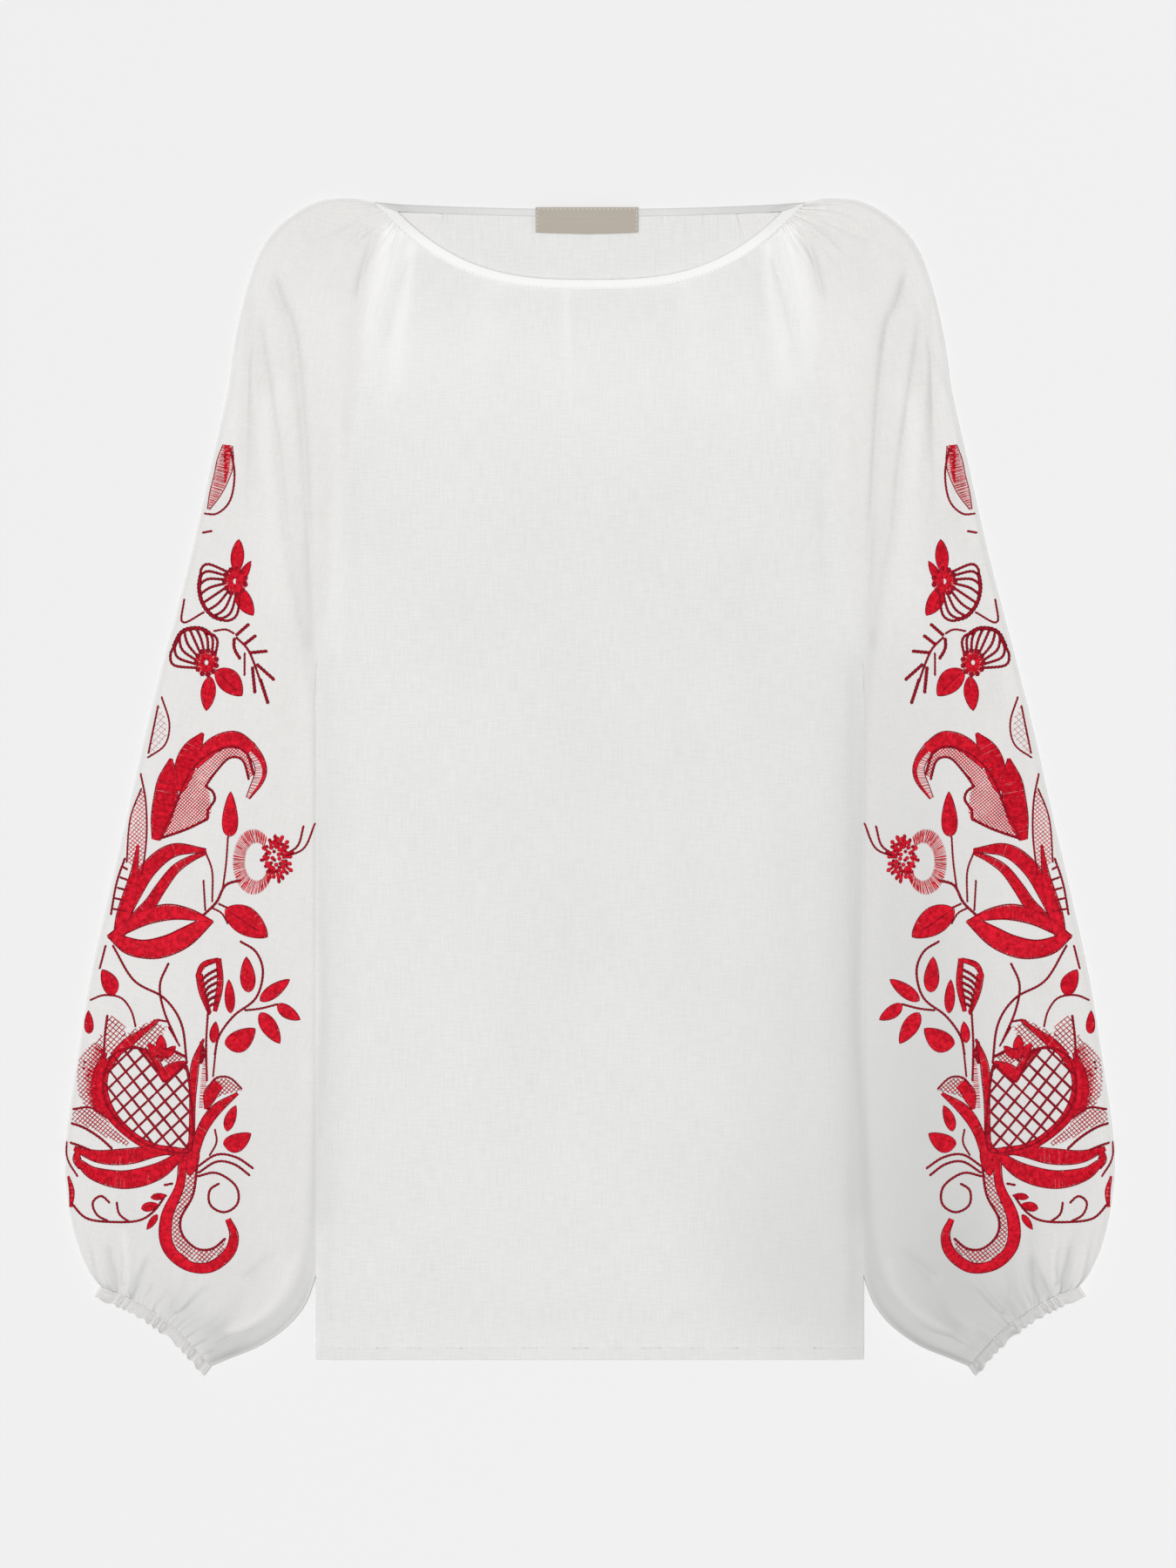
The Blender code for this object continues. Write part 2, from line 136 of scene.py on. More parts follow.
def blend(tree, part, *colours):
    """Mixes two colours, each of them a hex code or a socket."""
    first, second = ((*linear(c), 1.0) if isinstance(c, str) else c for c in colours)
    inputs = {"Factor": part, 6: first, 7: second}
    return add_node(tree, "ShaderNodeMix", inputs, data_type="RGBA").outputs[2]


def dress(tree, colour, height=None, strength=0.0, depth=0.0):
    """Gives the shader its colour and, from a height, its fine bumps."""
    shader = tree.nodes["Principled BSDF"]
    tree.links.new(colour, shader.inputs["Base Color"])
    if height:
        inputs = {"Height": height, "Strength": strength, "Distance": depth}
        bump = add_node(tree, "ShaderNodeBump", inputs)
        tree.links.new(bump.outputs["Normal"], shader.inputs["Normal"])


# %% [markdown]
# ## Plain-weave linen
# Linen is woven from flax yarn about 0.5 mm apart. The yarn isn't even: thicker places,
# called slubs, run for some millimetres along the warp and the weft and give the cloth its
# fine cross-hatched streaks. Single threads are finer than a pixel, so the streaks are
# drawn 0.9 mm wide and 14 mm long. They tint the cloth a little and raise it a little.
# Where two layers lie together, less of the dim inside shows through, so the cloth looks whiter
# there; the same whitening also paints highlights. Painted shade dims the cloth in creases, along
# the sides, at the cuffs, on the back strip and toward the hem and the right. The meshes carry both
# as one share, called tone: up to 1 for doubled cloth and painted highlight, down to -1 for painted
# shade.

# %% Linen finish
SLUB_WIDTH = 0.9 * MM
SLUB_LENGTH = 14 * MM
SLUB_HEIGHT = 0.25 * MM
SLUB_DETAIL = 3.0
WEFT_SHARE = 0.7
CLOUD_SIZE = 70 * MM
CLOUD_SHARE = 0.35
# tone colours: white for doubled cloth and painted highlight, grey for painted shade
DOUBLED_AND_HIGHLIGHT_WHITE = "#F7F7F6"
PAINTED_SHADE_GREY = "#C4C4C3"


def streaks(tree, coordinates, wide, long, turned, detail):
    """Noise drawn out along one direction of the cloth."""
    across, along = 1 / wide, 1 / long
    scale = (along, across, 1.0) if turned else (across, along, 1.0)
    placed = add_node(tree, "ShaderNodeMapping", {"Vector": coordinates, "Scale": scale})
    inputs = {"Vector": placed.outputs["Vector"], "Scale": 1.0, "Detail": detail}
    return add_node(tree, "ShaderNodeTexNoise", inputs).outputs["Fac"]


def linen(name, light, dark, grain_angle=0.0, bump=0.35):
    """Linen whose warp is turned by grain_angle degrees from the shirt's length."""
    material, tree = new_finish(name, 0.9, Sheen_Weight=0.12, Sheen_Roughness=0.5)
    turn = {"Vector": object_place(tree), "Rotation": (0.0, 0.0, math.radians(grain_angle))}
    grain = add_node(tree, "ShaderNodeMapping", turn).outputs["Vector"]
    warp = streaks(tree, grain, SLUB_WIDTH, SLUB_LENGTH, False, SLUB_DETAIL)
    weft = streaks(tree, grain, SLUB_WIDTH, SLUB_LENGTH * WEFT_SHARE, True, SLUB_DETAIL)
    slubs = reckon(tree, "ADD", warp, weft)
    clouds = streaks(tree, grain, CLOUD_SIZE, CLOUD_SIZE, False, 1.0)
    mixed = reckon(tree, "MULTIPLY_ADD", clouds, CLOUD_SHARE, slubs)
    tone = add_node(tree, "ShaderNodeAttribute", attribute_name="tone").outputs["Fac"]
    colour = blend(tree, stretch(tree, mixed, 0.85, 1.5), dark, light)
    # the tone share whitens doubled cloth and painted highlights, and greys the cloth with painted
    # shade
    colour = blend(tree, tone, colour, DOUBLED_AND_HIGHLIGHT_WHITE)
    colour = blend(tree, reckon(tree, "MULTIPLY", tone, -1.0), colour, PAINTED_SHADE_GREY)
    dress(tree, colour, slubs, bump, SLUB_HEIGHT)
    return material


body_linen = linen("white_linen", "#E2E2E1", "#D8D8D7")
sleeve_linen = {
    +1: linen("white_linen_left_sleeve", "#E1E0DE", "#D8D7D5", grain_angle=-14.0),
    -1: linen("white_linen_right_sleeve", "#E1E0DE", "#D8D7D5", grain_angle=14.0),
}
casing_linen = linen("casing_linen", "#DEDCDA", "#D2D1CF", grain_angle=40.0)
binding_linen = linen("binding_linen", "#E2E2E1", "#D9D9D8", grain_angle=45.0, bump=0.2)
print("linen finishes made")

# %% [markdown]
# ## The label's tape
# The label is a short length of satin-woven polyester tape in a sand colour. Its weft ribs
# lie 0.6 mm apart. The real one carries words, so this one is left bare.

# %% Label finish
RIB = 0.6 * MM
RIB_SCALE = 1 / (RIB * 6.3)
RIB_HEIGHT = 0.15 * MM

label_tape, tape_tree = new_finish("sand_woven_tape", 0.55, Sheen_Weight=0.2, Sheen_Roughness=0.4)
ribbing = {"Vector": object_place(tape_tree), "Scale": RIB_SCALE, "Distortion": 0.4}
tape_ribs = add_node(tape_tree, "ShaderNodeTexWave", ribbing, bands_direction="Y").outputs["Fac"]
dress(tape_tree, blend(tape_tree, tape_ribs, "#A2998D", "#AAA195"), tape_ribs, 0.4, RIB_HEIGHT)

# %% [markdown]
# ## Threads
# The embroidery is worked in stranded cotton, which is mercerised and so has a soft lustre. Dense
# satin stitch looks a clear red, and thin lines look darker, because each stands alone in its own
# shade. That shade is painted: lines, knots and the nets' crossing threads take a darker copy of
# the same red thread. The seams are sewn with white polyester thread.

# %% Thread finishes
STRAND_SCALE = 420.0


def thread(name, light, dark, roughness):
    """Cotton or polyester thread, speckled between two shades as its strands turn."""
    material, tree = new_finish(name, roughness, IOR=1.2)
    strands = {"Vector": object_place(tree), "Scale": STRAND_SCALE, "Detail": 3.0}
    speckle = add_node(tree, "ShaderNodeTexNoise", strands).outputs["Fac"]
    dress(tree, blend(tree, stretch(tree, speckle, 0.35, 0.65), dark, light))
    return material


red_thread = thread("red_cotton_thread", "#E01730", "#B4081F", 0.6)
# a darker copy of the same red thread: painted shade for lines, knots and net crossings
red_thread_painted_shade = thread("red_cotton_thread_painted_shade", "#A00B22", "#80061A", 0.6)
sewing_thread = thread("white_sewing_thread", "#F4F4F2", "#EAEAE8", 0.7)

# %% [markdown]
# ## Where the pieces lie
# The cut follows the CAD source, in millimetres. A closer look at the photo made the hem
# and the back strip a little narrower than there. The sleeve's two tables are for the
# wearer's left, which is +X, and run from the neck to the cuff. Each row gives x and y of
# the front seam, of the back seam and of the fold at the outer side. Below the underarm
# the sleeve is closed, so both seams are one edge. Smooth curves give the rows between.

# %% The cut
BODY_HALF_WIDTH = 163.3
HEM_Y = -341.1
HEM_DEPTH = 8.6
UNDERARM_Y = 72.3
NECK_HALF = 128.4
NECK_HOLE_HALF = 115.5
FRONT_NECK_Y = 296.9
FRONT_NECK_RISE = 51.6
NECK_POWER = 2.9
FRONT_STRIP_WIDTH = 5.8
FRONT_HOLE_RISE = 41.6
BACK_NECK_Y = 344.8
BACK_NECK_RISE = 3.7
BACK_STRIP_WIDTH = 4.3
CASING_LENGTH = 7.1
CUFF_BOW = -6.5
NECK_FIT_LENGTH = 30.0

OPEN_STATIONS = [
    (111.8, 330.1, 88.6, 339.9, 128.9, 349.4),
    (114.9, 318.2, 93.6, 327.1, 142.0, 351.0),
    (119.1, 304.7, 98.8, 311.0, 158.6, 350.3),
    (123.8, 289.1, 104.5, 292.2, 173.7, 343.7),
    (128.4, 271.4, 110.8, 271.4, 187.7, 332.3),
    (133.1, 251.7, 117.0, 249.1, 197.1, 318.2),
    (137.8, 228.3, 123.2, 225.7, 204.4, 297.4),
    (143.0, 199.7, 130.0, 198.6, 211.1, 268.3),
    (147.7, 168.5, 137.8, 167.4, 215.8, 236.1),
    (152.4, 137.3, 145.1, 136.2, 222.6, 205.9),
    (157.0, 105.0, 152.4, 104.0, 229.1, 176.3),
]
CLOSED_STATIONS = [
    (163.8, 72.3, 237.0, 141.4),
    (163.8, 35.9, 246.0, 106.1),
    (163.8, -5.7, 255.3, 70.7),
    (163.8, -49.9, 265.2, 30.7),
    (163.8, -96.7, 275.1, -13.5),
    (163.8, -143.5, 286.5, -62.9),
    (163.8, -190.3, 297.4, -112.3),
    (163.8, -231.9, 305.2, -160.2),
    (163.8, -265.7, 311.5, -203.3),
    (164.0, -286.5, 312.9, -229.3),
    (167.6, -304.2, 309.9, -254.3),
    (178.4, -319.6, 304.7, -274.6),
    (196.0, -332.6, 299.0, -287.6),
    (214.8, -340.5, 295.4, -293.3),
    (225.6, -345.0, 291.7, -297.4),
]
STATIONS = OPEN_STATIONS + [(*row[:2], *row) for row in CLOSED_STATIONS]
ROWS_EACH = 8


def smooth(value):
    """Rises softly from 0 to 1 as value goes from 0 to 1."""
    t = np.clip(value, 0.0, 1.0)
    return t * t * (3 - 2 * t)


def rise(distance, reach, low=0.0):
    """Rises softly from low to 1 as a distance goes from 0 to its reach."""
    return low + (1 - low) * smooth(distance / reach)


def mix(first, second, part):
    """The value at a part, 0 to 1, of the way from the first to the second."""
    return first + (second - first) * part


def through(points, steps):
    """A smooth curve through the points, with so many steps between two of them."""
    points = np.asarray(points, float)
    padded = np.vstack([2 * points[0] - points[1], points, 2 * points[-1] - points[-2]])
    t = (np.arange(steps) / steps)[:, None]
    parts = []
    for a, b, c, d in zip(padded, padded[1:], padded[2:], padded[3:]):
        bend = (2 * a - 5 * b + 4 * c - d) * t**2 + (3 * b - a - 3 * c + d) * t**3
        parts.append(0.5 * (2 * b + (c - a) * t + bend))
    return np.vstack(parts + [points[-1:]])


SIDE_TUCK = 1.5
TUCK_ENDS = (88.0, -300.0)
UNDERARM_ROW = len(OPEN_STATIONS) * ROWS_EACH
sleeve_table = through(STATIONS, ROWS_EACH)
tucked = smooth((TUCK_ENDS[0] - sleeve_table[:, 1]) / 10.0)
tucked *= smooth((sleeve_table[:, 1] - TUCK_ENDS[1]) / 12.0)
sleeve_table[:, [0, 2]] -= SIDE_TUCK * tucked[:, None]
print("sleeve rows:", len(sleeve_table))

# %% [markdown]
# ## The neck's edges
# The strip's four edges follow simple curves: the front one is a power curve that stays
# flat in the middle and climbs at the corners, and the back one hardly curves.


# %% Neck curves
def front_neck_edge(x):
    return FRONT_NECK_Y + FRONT_NECK_RISE * np.abs(x / NECK_HALF) ** NECK_POWER


def front_hole_edge(x):
    low = FRONT_NECK_Y + FRONT_STRIP_WIDTH
    return low + FRONT_HOLE_RISE * np.abs(x / NECK_HOLE_HALF) ** NECK_POWER


def back_neck_edge(x):
    return BACK_NECK_Y + BACK_NECK_RISE * (x / NECK_HALF) ** 2


def back_hole_edge(x):
    return back_neck_edge(x) - BACK_STRIP_WIDTH


# %% [markdown]
# ## Heights of the cloth
# Real cloth is 0.3 mm thick. Each shell here is 0.7 mm, which keeps its two skins apart.
# The lower layers lie 0.4 mm up, on the embroidery's reverse side. The upper layers rise
# from their folded edges like a slack pillow, a few millimetres high. Panels reach half a
# millimetre past their seam, as seam allowances do, and sink into each other there. Below
# the underarm the sleeve tucks a little under the body's side edge.

# %% Layer heights
CLOTH = 0.7
GROUND = 0.4
UPPER_Z = 1.6
FOLD_RADIUS = (UPPER_Z + CLOTH - GROUND) / 2
FOLD_Z = GROUND + FOLD_RADIUS
SEAM_LAP = 0.5
UNDERARM_BLEND = 50.0
SLEEVE_LOFT = 6.2
BODY_LOFT = 3.4


def seam_height(y):
    """How high the raglan seam lies over the lowest place of the upper cloth."""
    return 0.8 + 1.7 * rise(338.0 - y, 90.0)


def seam_dip(distance):
    """How far the cloth sinks at a seam, from its distance to it."""
    return 0.04 * np.exp(-distance / 1.2)


def above_underarm(y):
    """Goes from 0 below the underarm to 1 above it."""
    return smooth(0.5 + (y - UNDERARM_Y) / UNDERARM_BLEND)


# %% [markdown]
# ## Folds placed one by one
# The photo shows where the cloth folds: a deep crease from each shoulder to the underarm,
# a second one that runs into it, short gathers by the neck strip and at the cuff, and soft
# long waves down the front. Cloth simulation would put folds of its own where it pleased.
# So each fold is a drawn line with a height and two widths, one on its outer side and one
# toward the body. A narrow width makes a sharp fall of the cloth, as where it laps over.
# Creases are pointed along their line and swells are round. A height below 0 is a trough.

# %% Folds
BOTH, LEFT, RIGHT = 0, 1, -1
Fold = namedtuple("Fold", "line high_start high_end outer inner side", defaults=(BOTH,))
# narrow creases, sharp along their line
CREASES = [
    # from the shoulder to the underarm, where the two meet the body's side
    (
        [(190, 309), (185, 292), (177.5, 275), (174, 252), (170.5, 213), (167, 150),
         (164, 85), (163, 40)],
        -3.6, -1.6, 3.0, 2.0,
    ),
    (
        [(198, 285), (196, 268), (193, 250), (189, 224), (184, 188), (180.4, 149),
         (173, 112), (169, 75), (167, 30)],
        -2.8, -1.0, 1.8, 1.6,
    ),
    # the outer long trough, and a short one between
    ([(202.5, 298), (203, 264), (204.6, 213), (205.6, 150)], -2.0, -0.9, 2.2, 1.8),
    ([(198, 264), (197, 240), (196, 214)], -0.7, -0.3, 1.2, 1.2),
    # by the neck
    ([(124.5, 334), (129.5, 325), (134, 312), (137.4, 298), (139, 286)], -3.0, -1.6, 1.9, 1.6),
    ([(109, 320), (113, 303), (117, 287), (121, 270), (125.5, 254)], -1.6, -0.7, 1.3, 1.3),
    ([(101, 312), (104, 292), (108, 272)], -0.8, -0.3, 1.4, 1.4),
    ([(136, 340), (150, 333), (168, 326)], -0.9, -0.4, 1.6, 1.6),
    ([(130, 331), (140, 321), (152, 305)], -0.5, -0.2, 1.3, 1.3),
    ([(172, 338), (168, 330), (163, 322)], -0.9, -0.3, 1.3, 1.3),
    # down the front
    ([(139, 200), (139, 150), (138, 100)], -0.8, -0.4, 2.4, 2.4),
    ([(8.5, 294), (7.5, 270), (7, 245)], -0.5, -0.3, 1.5, 1.5, RIGHT),
    # the gathers' longest ones at the cuff
    ([(224, -333), (214, -327.5), (202, -324), (191, -317)], -2.0, -0.8, 1.5, 1.5),
    ([(243, -315), (236, -307.5), (229, -300), (223, -295)], -1.0, -0.5, 1.8, 1.8),
    ([(207, -294), (200, -288), (192, -281), (183, -274)], -2.4, -0.8, 2.4, 2.0),
    ([(253, -317), (250, -309), (251, -296)], -1.5, -0.6, 1.5, 1.5),
    ([(275, -306), (272, -299), (266, -288), (263, -278)], -2.9, -1.2, 2.2, 1.6),
    ([(284, -304), (283, -293), (287, -281), (286, -268)], -3.2, -1.4, 2.6, 2.2),
    ([(296, -293), (299, -278), (303, -258)], -1.3, -0.5, 2.0, 2.0),
]
# broad folds and troughs, round like waves
SWELLS = [
    # the soft band between the two long creases, and the sleeve's slack outside them
    ([(192, 285), (184, 250), (179, 200), (172, 150)], -0.9, -0.5, 5.0, 5.0),
    ([(203, 262), (199, 230), (194, 190), (186, 140)], 1.3, 0.9, 6.0, 3.0),
    ([(209, 250), (213, 200), (217, 150)], 0.8, 0.3, 3.0, 4.0),
    # by the neck
    ([(118, 328), (124, 303), (129, 277), (129, 255)], 1.3, 0.5, 3.4, 3.4),
    ([(105.5, 317), (109, 290), (113, 258)], 0.9, 0.4, 2.6, 3.4),
    ([(132, 333), (140, 326), (151, 316)], 1.1, 0.4, 2.0, 2.0),
    ([(160, 300), (158, 280), (160, 250)], 0.6, 0.2, 8.0, 8.0),
    # down the front
    ([(148, 230), (148, 150), (146, 60)], 0.9, 0.4, 4.5, 3.5),
    ([(92, 300), (97, 250), (99, 190)], 0.6, 0.3, 6.0, 6.0),
    ([(15, 294), (13, 257), (11, 220)], 1.0, 0.4, 1.8, 2.4, RIGHT),
    ([(40, 120), (46, -20), (42, -180)], 0.9, 0.5, 12.0, 16.0, LEFT),
    ([(60, 60), (52, -80), (58, -240)], 0.9, 0.5, 15.0, 12.0, RIGHT),
    ([(120, 40), (126, -100), (122, -260)], -0.8, -0.5, 9.0, 9.0),
    # at the cuff
    ([(219, -326), (208, -318), (199, -309), (190, -297)], 1.3, 0.5, 3.0, 3.0),
    ([(229, -327), (221, -319), (214, -312), (209, -305)], -1.6, -0.6, 4.0, 3.4),
    ([(247, -314), (240, -306), (233, -298), (226, -291)], 2.0, 1.0, 2.4, 1.8),
    ([(262, -314), (263, -300), (257, -288)], 1.2, 0.4, 2.0, 2.0),
    ([(278, -297), (277, -283), (279, -268)], 1.5, 0.6, 2.0, 1.6),
    ([(291, -300), (294, -287), (297, -270)], 1.0, 0.4, 1.8, 1.8),
]

# Where the cloth shows whiter, lying double or as a painted highlight, or dimmer as painted shade
# (a share below 0): a line, with half widths and shares at its two ends.
Tone = namedtuple(
    "Tone", "line wide_start wide_end share_start share_end side", defaults=(BOTH,)
)
SIDE_SHADE = [
    (168.4, 93), (166.4, 64.5), (164.3, 33), (162.7, 2), (161.7, -39.5), (160.1, -81),
    (159.1, -112), (159, -138), (160.6, -169.5), (162.7, -200.7), (164.3, -226.7),
    (165.8, -258), (168.4, -278.7), (172.6, -294), (180, -306), (192, -318), (208, -328),
    (224, -338),
]
TONES = [
    # doubled cloth, partly painted highlight: two wedges by the strip, the front's middle, beside
    # the raglan seam, and the body's top painted lighter
    ([(119, 329), (124.5, 303), (130, 277), (129, 246)], 7.5, 5.5, 0.58, 0.06),
    ([(106.5, 322), (110.5, 292), (115, 260), (117, 240)], 3.8, 7.0, 0.42, 0.14),
    ([(14, 294), (12.5, 257), (11, 215)], 3.0, 2.0, 0.26, 0.0, RIGHT),
    ([(60, 296), (64, 262), (66, 215)], 9.0, 7.0, 0.12, 0.0),
    ([(150, 240), (150, 150), (150, 40)], 5.0, 5.0, 0.06, 0.06),
    ([(0, 240), (90, 256), (200, 290)], 55.0, 45.0, 0.14, 0.12),
    ([(192, 230), (193, 180), (186, 110)], 6.0, 8.0, 0.2, 0.08),
    ([(0, -329), (230, -329)], 14.0, 14.0, 0.08, 0.08),
    # painted shade, with a few painted highlights: the front's middle and its low left side, the
    # sleeves' lower ends
    ([(0, 150), (0, -60)], 80.0, 80.0, -0.04, -0.1),
    ([(128, 120), (124, -60), (118, -200), (118, -280)], 45.0, 52.0, -0.06, -0.34, LEFT),
    ([(212, 20), (217, -110), (225, -250), (228, -330)], 34.0, 60.0, -0.06, -0.36),
    ([(184, 60), (190, -80), (200, -220), (210, -330)], 34.0, 60.0, -0.24, -0.76, LEFT),
    ([(288, -292), (262, -303), (240, -318), (222, -332)], 14.0, 12.0, -0.04, -0.5),
    ([(223, -322), (215, -312), (209, -302)], 6.0, 5.0, -0.36, -0.1),
    ([(287, -276), (284, -298)], 3.0, 4.0, -0.2, -0.42),
    ([(264, -280), (270, -294), (274, -304)], 1.8, 2.4, -0.24, -0.4),
    ([(277, -266), (276, -297)], 2.4, 2.4, 0.22, 0.2),
    ([(214, 262), (213, 236), (217, 190)], 4.5, 5.0, 0.22, 0.16),
    ([(154, 70), (151, -60), (153, -180), (157, -250)], 10.0, 10.0, -0.1, -0.2),
    # the cuff's flat lower fold: a band of painted shade, and a painted highlight on the cloth that
    # bulges out beside it
    ([(166.5, -280), (172, -300), (183, -316), (198, -327.5), (214, -335)], 3.6, 4.2, -0.1, -0.42),
    ([(178, -282), (182, -298), (190, -309), (202, -318), (213, -323.5)], 3.6, 3.0, 0.16, 0.34),
    # shade between the two long creases, and along the body's sides down to the cuffs
    ([(184, 240), (177, 190), (174, 150), (170, 110), (168, 85)], 5.0, 2.6, 0.12, -0.3),
    (SIDE_SHADE, 2.6, 4.2, -0.16, -0.5),
]
# creases also grey the cloth with painted shade, by this share of their depth
CREASE_PAINTED_SHADE = 0.13
CURVE_STEPS = 8

# Sets of low waves, drawn out along the cloth's length where their share of it is small.
Waves = namedtuple("Waves", "high drawn_out size seed")
SLACK_WAVES = 7
FRONT_WAVES = [Waves(0.4, 0.35, 48.0, 4), Waves(0.1, 0.6, 21.0, 9)]
BACK_WAVES = [Waves(1.0, 1.0, 30.0, 17)]
SLEEVE_WAVES = [Waves(0.5, 0.55, 42.0, 21), Waves(0.14, 1.0, 17.0, 5)]

# Gathers: how many lie side by side, how high they are and how far they reach.
Gathers = namedtuple("Gathers", "count high reach seed")
FRONT_GATHERS = [Gathers(34, 0.28, 26.0, 12)]
BACK_GATHERS = [Gathers(44, 1.3, 16.0, 31), Gathers(19, 0.8, 60.0, 32)]
NECK_GATHERS = [Gathers(13, 0.9, 42.0, 40), Gathers(24, 0.9, 18.0, 44)]
CUFF_GATHERS = [Gathers(11, 2.6, 50.0, 60), Gathers(23, 1.3, 18.0, 64)]
UNDER_NECK_GATHERS = [Gathers(12, 0.5, 24.0, 80)]
UNDER_CUFF_GATHERS = [Gathers(15, 0.7, 40.0, 90)]


def near_line(x, y, line):
    """How far each point is from a drawn line, where along it, and on which side."""
    step = np.diff(line, axis=0)
    from_x = x[..., None] - line[:-1, 0]
    from_y = y[..., None] - line[:-1, 1]
    along = (from_x * step[:, 0] + from_y * step[:, 1]) / (step**2).sum(axis=1)
    along = np.clip(along, 0.0, 1.0)
    apart = np.hypot(from_x - along * step[:, 0], from_y - along * step[:, 1])
    best = apart.argmin(axis=-1)[..., None]
    distance = np.take_along_axis(apart, best, -1)[..., 0]
    part = (best + np.take_along_axis(along, best, -1))[..., 0] / len(step)
    side = step[:, 0] * from_y - step[:, 1] * from_x
    return distance, part, np.take_along_axis(side, best, -1)[..., 0] > 0


def sharp_shape(share):
    """A fold's height over its width, pointed like a crease."""
    return np.exp(-np.sqrt(share**2 + 0.04) + 0.2)


def soft_shape(share):
    """A fold's height over its width, round like a wave."""
    return np.exp(-(share**2))


def folded(x, y, side, rows, shape):
    """What folds of one shape add to the height, with x counted outward from the middle."""
    total = np.zeros_like(x)
    for fold in itertools.starmap(Fold, rows):
        if fold.side * side < 0:
            continue
        distance, part, outside = near_line(x, y, through(fold.line, CURVE_STEPS))
        width = np.where(outside, fold.outer, fold.inner)
        fade = smooth(part / 0.12 + 0.15) * rise(1 - part, 0.3)
        total += mix(fold.high_start, fold.high_end, part) * shape(distance / width) * fade
    return total


def all_folds(x, y, side):
    """Creases and broad folds together."""
    creases = folded(x, y, side, CREASES, sharp_shape)
    return creases + folded(x, y, side, SWELLS, soft_shape)


def tone_share(x, y, side):
    """The cloth's tone share at each point, -1 to 1, x counted outward."""
    total = np.zeros_like(x)
    for place in itertools.starmap(Tone, TONES):
        if place.side * side < 0:
            continue
        distance, part, _ = near_line(x, y, through(place.line, CURVE_STEPS))
        wide = mix(place.wide_start, place.wide_end, part)
        total += mix(place.share_start, place.share_end, part) * soft_shape(distance / wide)
    # painted shade along the creases
    total += CREASE_PAINTED_SHADE * folded(x, y, side, CREASES, sharp_shape)
    return np.clip(total, -1.0, 1.0)


def both_halves(measure, x, y):
    """A measure that counts x outward, taken on the wearer's left and right."""
    out = np.abs(x)
    return np.where(x > 0, measure(out, y, LEFT), measure(out, y, RIGHT))


def mark_tone(piece, shares):
    """Stores the tone share of every point of a piece, for its finish."""
    layer = piece.data.attributes.new("tone", "FLOAT", "POINT")
    layer.data.foreach_set("value", shares.ravel().astype(np.float32))


def slack(x, y, rows, side=0):
    """Low uneven waves, as in cloth that was smoothed by hand."""
    total = 0.0
    for high, drawn_out, size, seed in rows:
        draw = np.random.default_rng(seed + side)
        down = drawn_out * y
        waves = np.zeros_like(x)
        for _ in range(SLACK_WAVES):
            heading, phase = draw.uniform(0, 2 * math.pi, 2)
            pace = 2 * math.pi / (size * draw.uniform(0.7, 1.6))
            waves += np.sin((x * math.cos(heading) + down * math.sin(heading)) * pace + phase)
        total = total + high * (waves / math.sqrt(SLACK_WAVES))
    return total


def gathers(across, away, rows, side=0):
    """Small ridges side by side at a gathered edge, each of its own height and length."""
    total = 0.0
    for count, high, reach, seed in rows:
        draw = np.random.default_rng(seed + side)
        ridges = np.zeros_like(across)
        for place in range(count):
            middle = (place + 0.5 + draw.uniform(-0.3, 0.3)) / count
            wide = draw.uniform(0.32, 0.5) / count
            tall = high * draw.uniform(0.45, 1.0)
            length = reach * draw.uniform(0.35, 1.0)
            ridge = np.exp(-(((across - middle) / wide) ** 2))
            ridges += tall * ridge * np.exp(-((away / length) ** 1.5))
        total = total + ridges
    return total


# %% [markdown]
# ## One closed wall of cloth
# Every panel is a grid of points for its upper skin and one for its lower skin. Faces
# between the two close the wall round each open edge, so the mesh has an inside and is
# also a sound solid for other uses.


# %% Walls
RIM_ANGLE = 60.0


def grid_quads(rows, columns):
    """The quads of a grid whose points are numbered row by row."""
    corner = np.arange((rows - 1) * columns).reshape(rows - 1, columns)[:, :-1].ravel()
    return np.column_stack([corner, corner + 1, corner + columns + 1, corner + columns])


def add_wall(name, finish, outer, inner, quads):
    """A closed mesh from two skins that share their grid, rims included."""
    count = len(outer)
    edges = np.concatenate([quads[:, [i, (i + 1) % 4]] for i in range(4)])
    keys = edges[:, 0] * count + edges[:, 1]
    lone = edges[~np.isin(edges[:, 1] * count + edges[:, 0], keys)]
    rims = np.column_stack([lone[:, 1], lone[:, 0], lone[:, 0] + count, lone[:, 1] + count])
    faces = np.concatenate([quads, quads[:, ::-1] + count, rims])
    wall = add_mesh(name, finish, np.concatenate([outer, inner]), faces.tolist())
    wall.data.set_sharp_from_angle(angle=math.radians(RIM_ANGLE))
    return wall


def add_mesh(name, finish, points, faces, tidy=True):
    """A mesh object from points in millimetres."""
    mesh = bpy.data.meshes.new(name)
    mesh.from_pydata((points * MM).tolist(), [], faces)
    if tidy:
        work = bmesh.new()
        work.from_mesh(mesh)
        bmesh.ops.recalc_face_normals(work, faces=work.faces)
        work.to_mesh(mesh)
        work.free()
    mesh.shade_smooth()
    mesh.materials.append(finish)
    piece = put(name, mesh)
    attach(piece, "root")
    return piece


def flat_points(x, y, z):
    """Grids of x, y and z as one list of points."""
    return np.stack(np.broadcast_arrays(x, y, z), axis=-1).reshape(-1, 3)


def stands_for(piece, node):
    """Hides the solid that a wall shows, and prints one layer's area."""
    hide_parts(node)
    surface = sum(face.area for face in piece.data.polygons)
    print(piece.name, "has one layer of", round(surface / 2, 5), "square metres")


# %% [markdown]
# ## Body panels
# Front and back are each cut in one piece. Their rows run straight across up to the
# underarm, then narrow along the raglan seams, and the topmost rows bend to the neck.


# %% Body rows
BODY_COLUMNS = 128


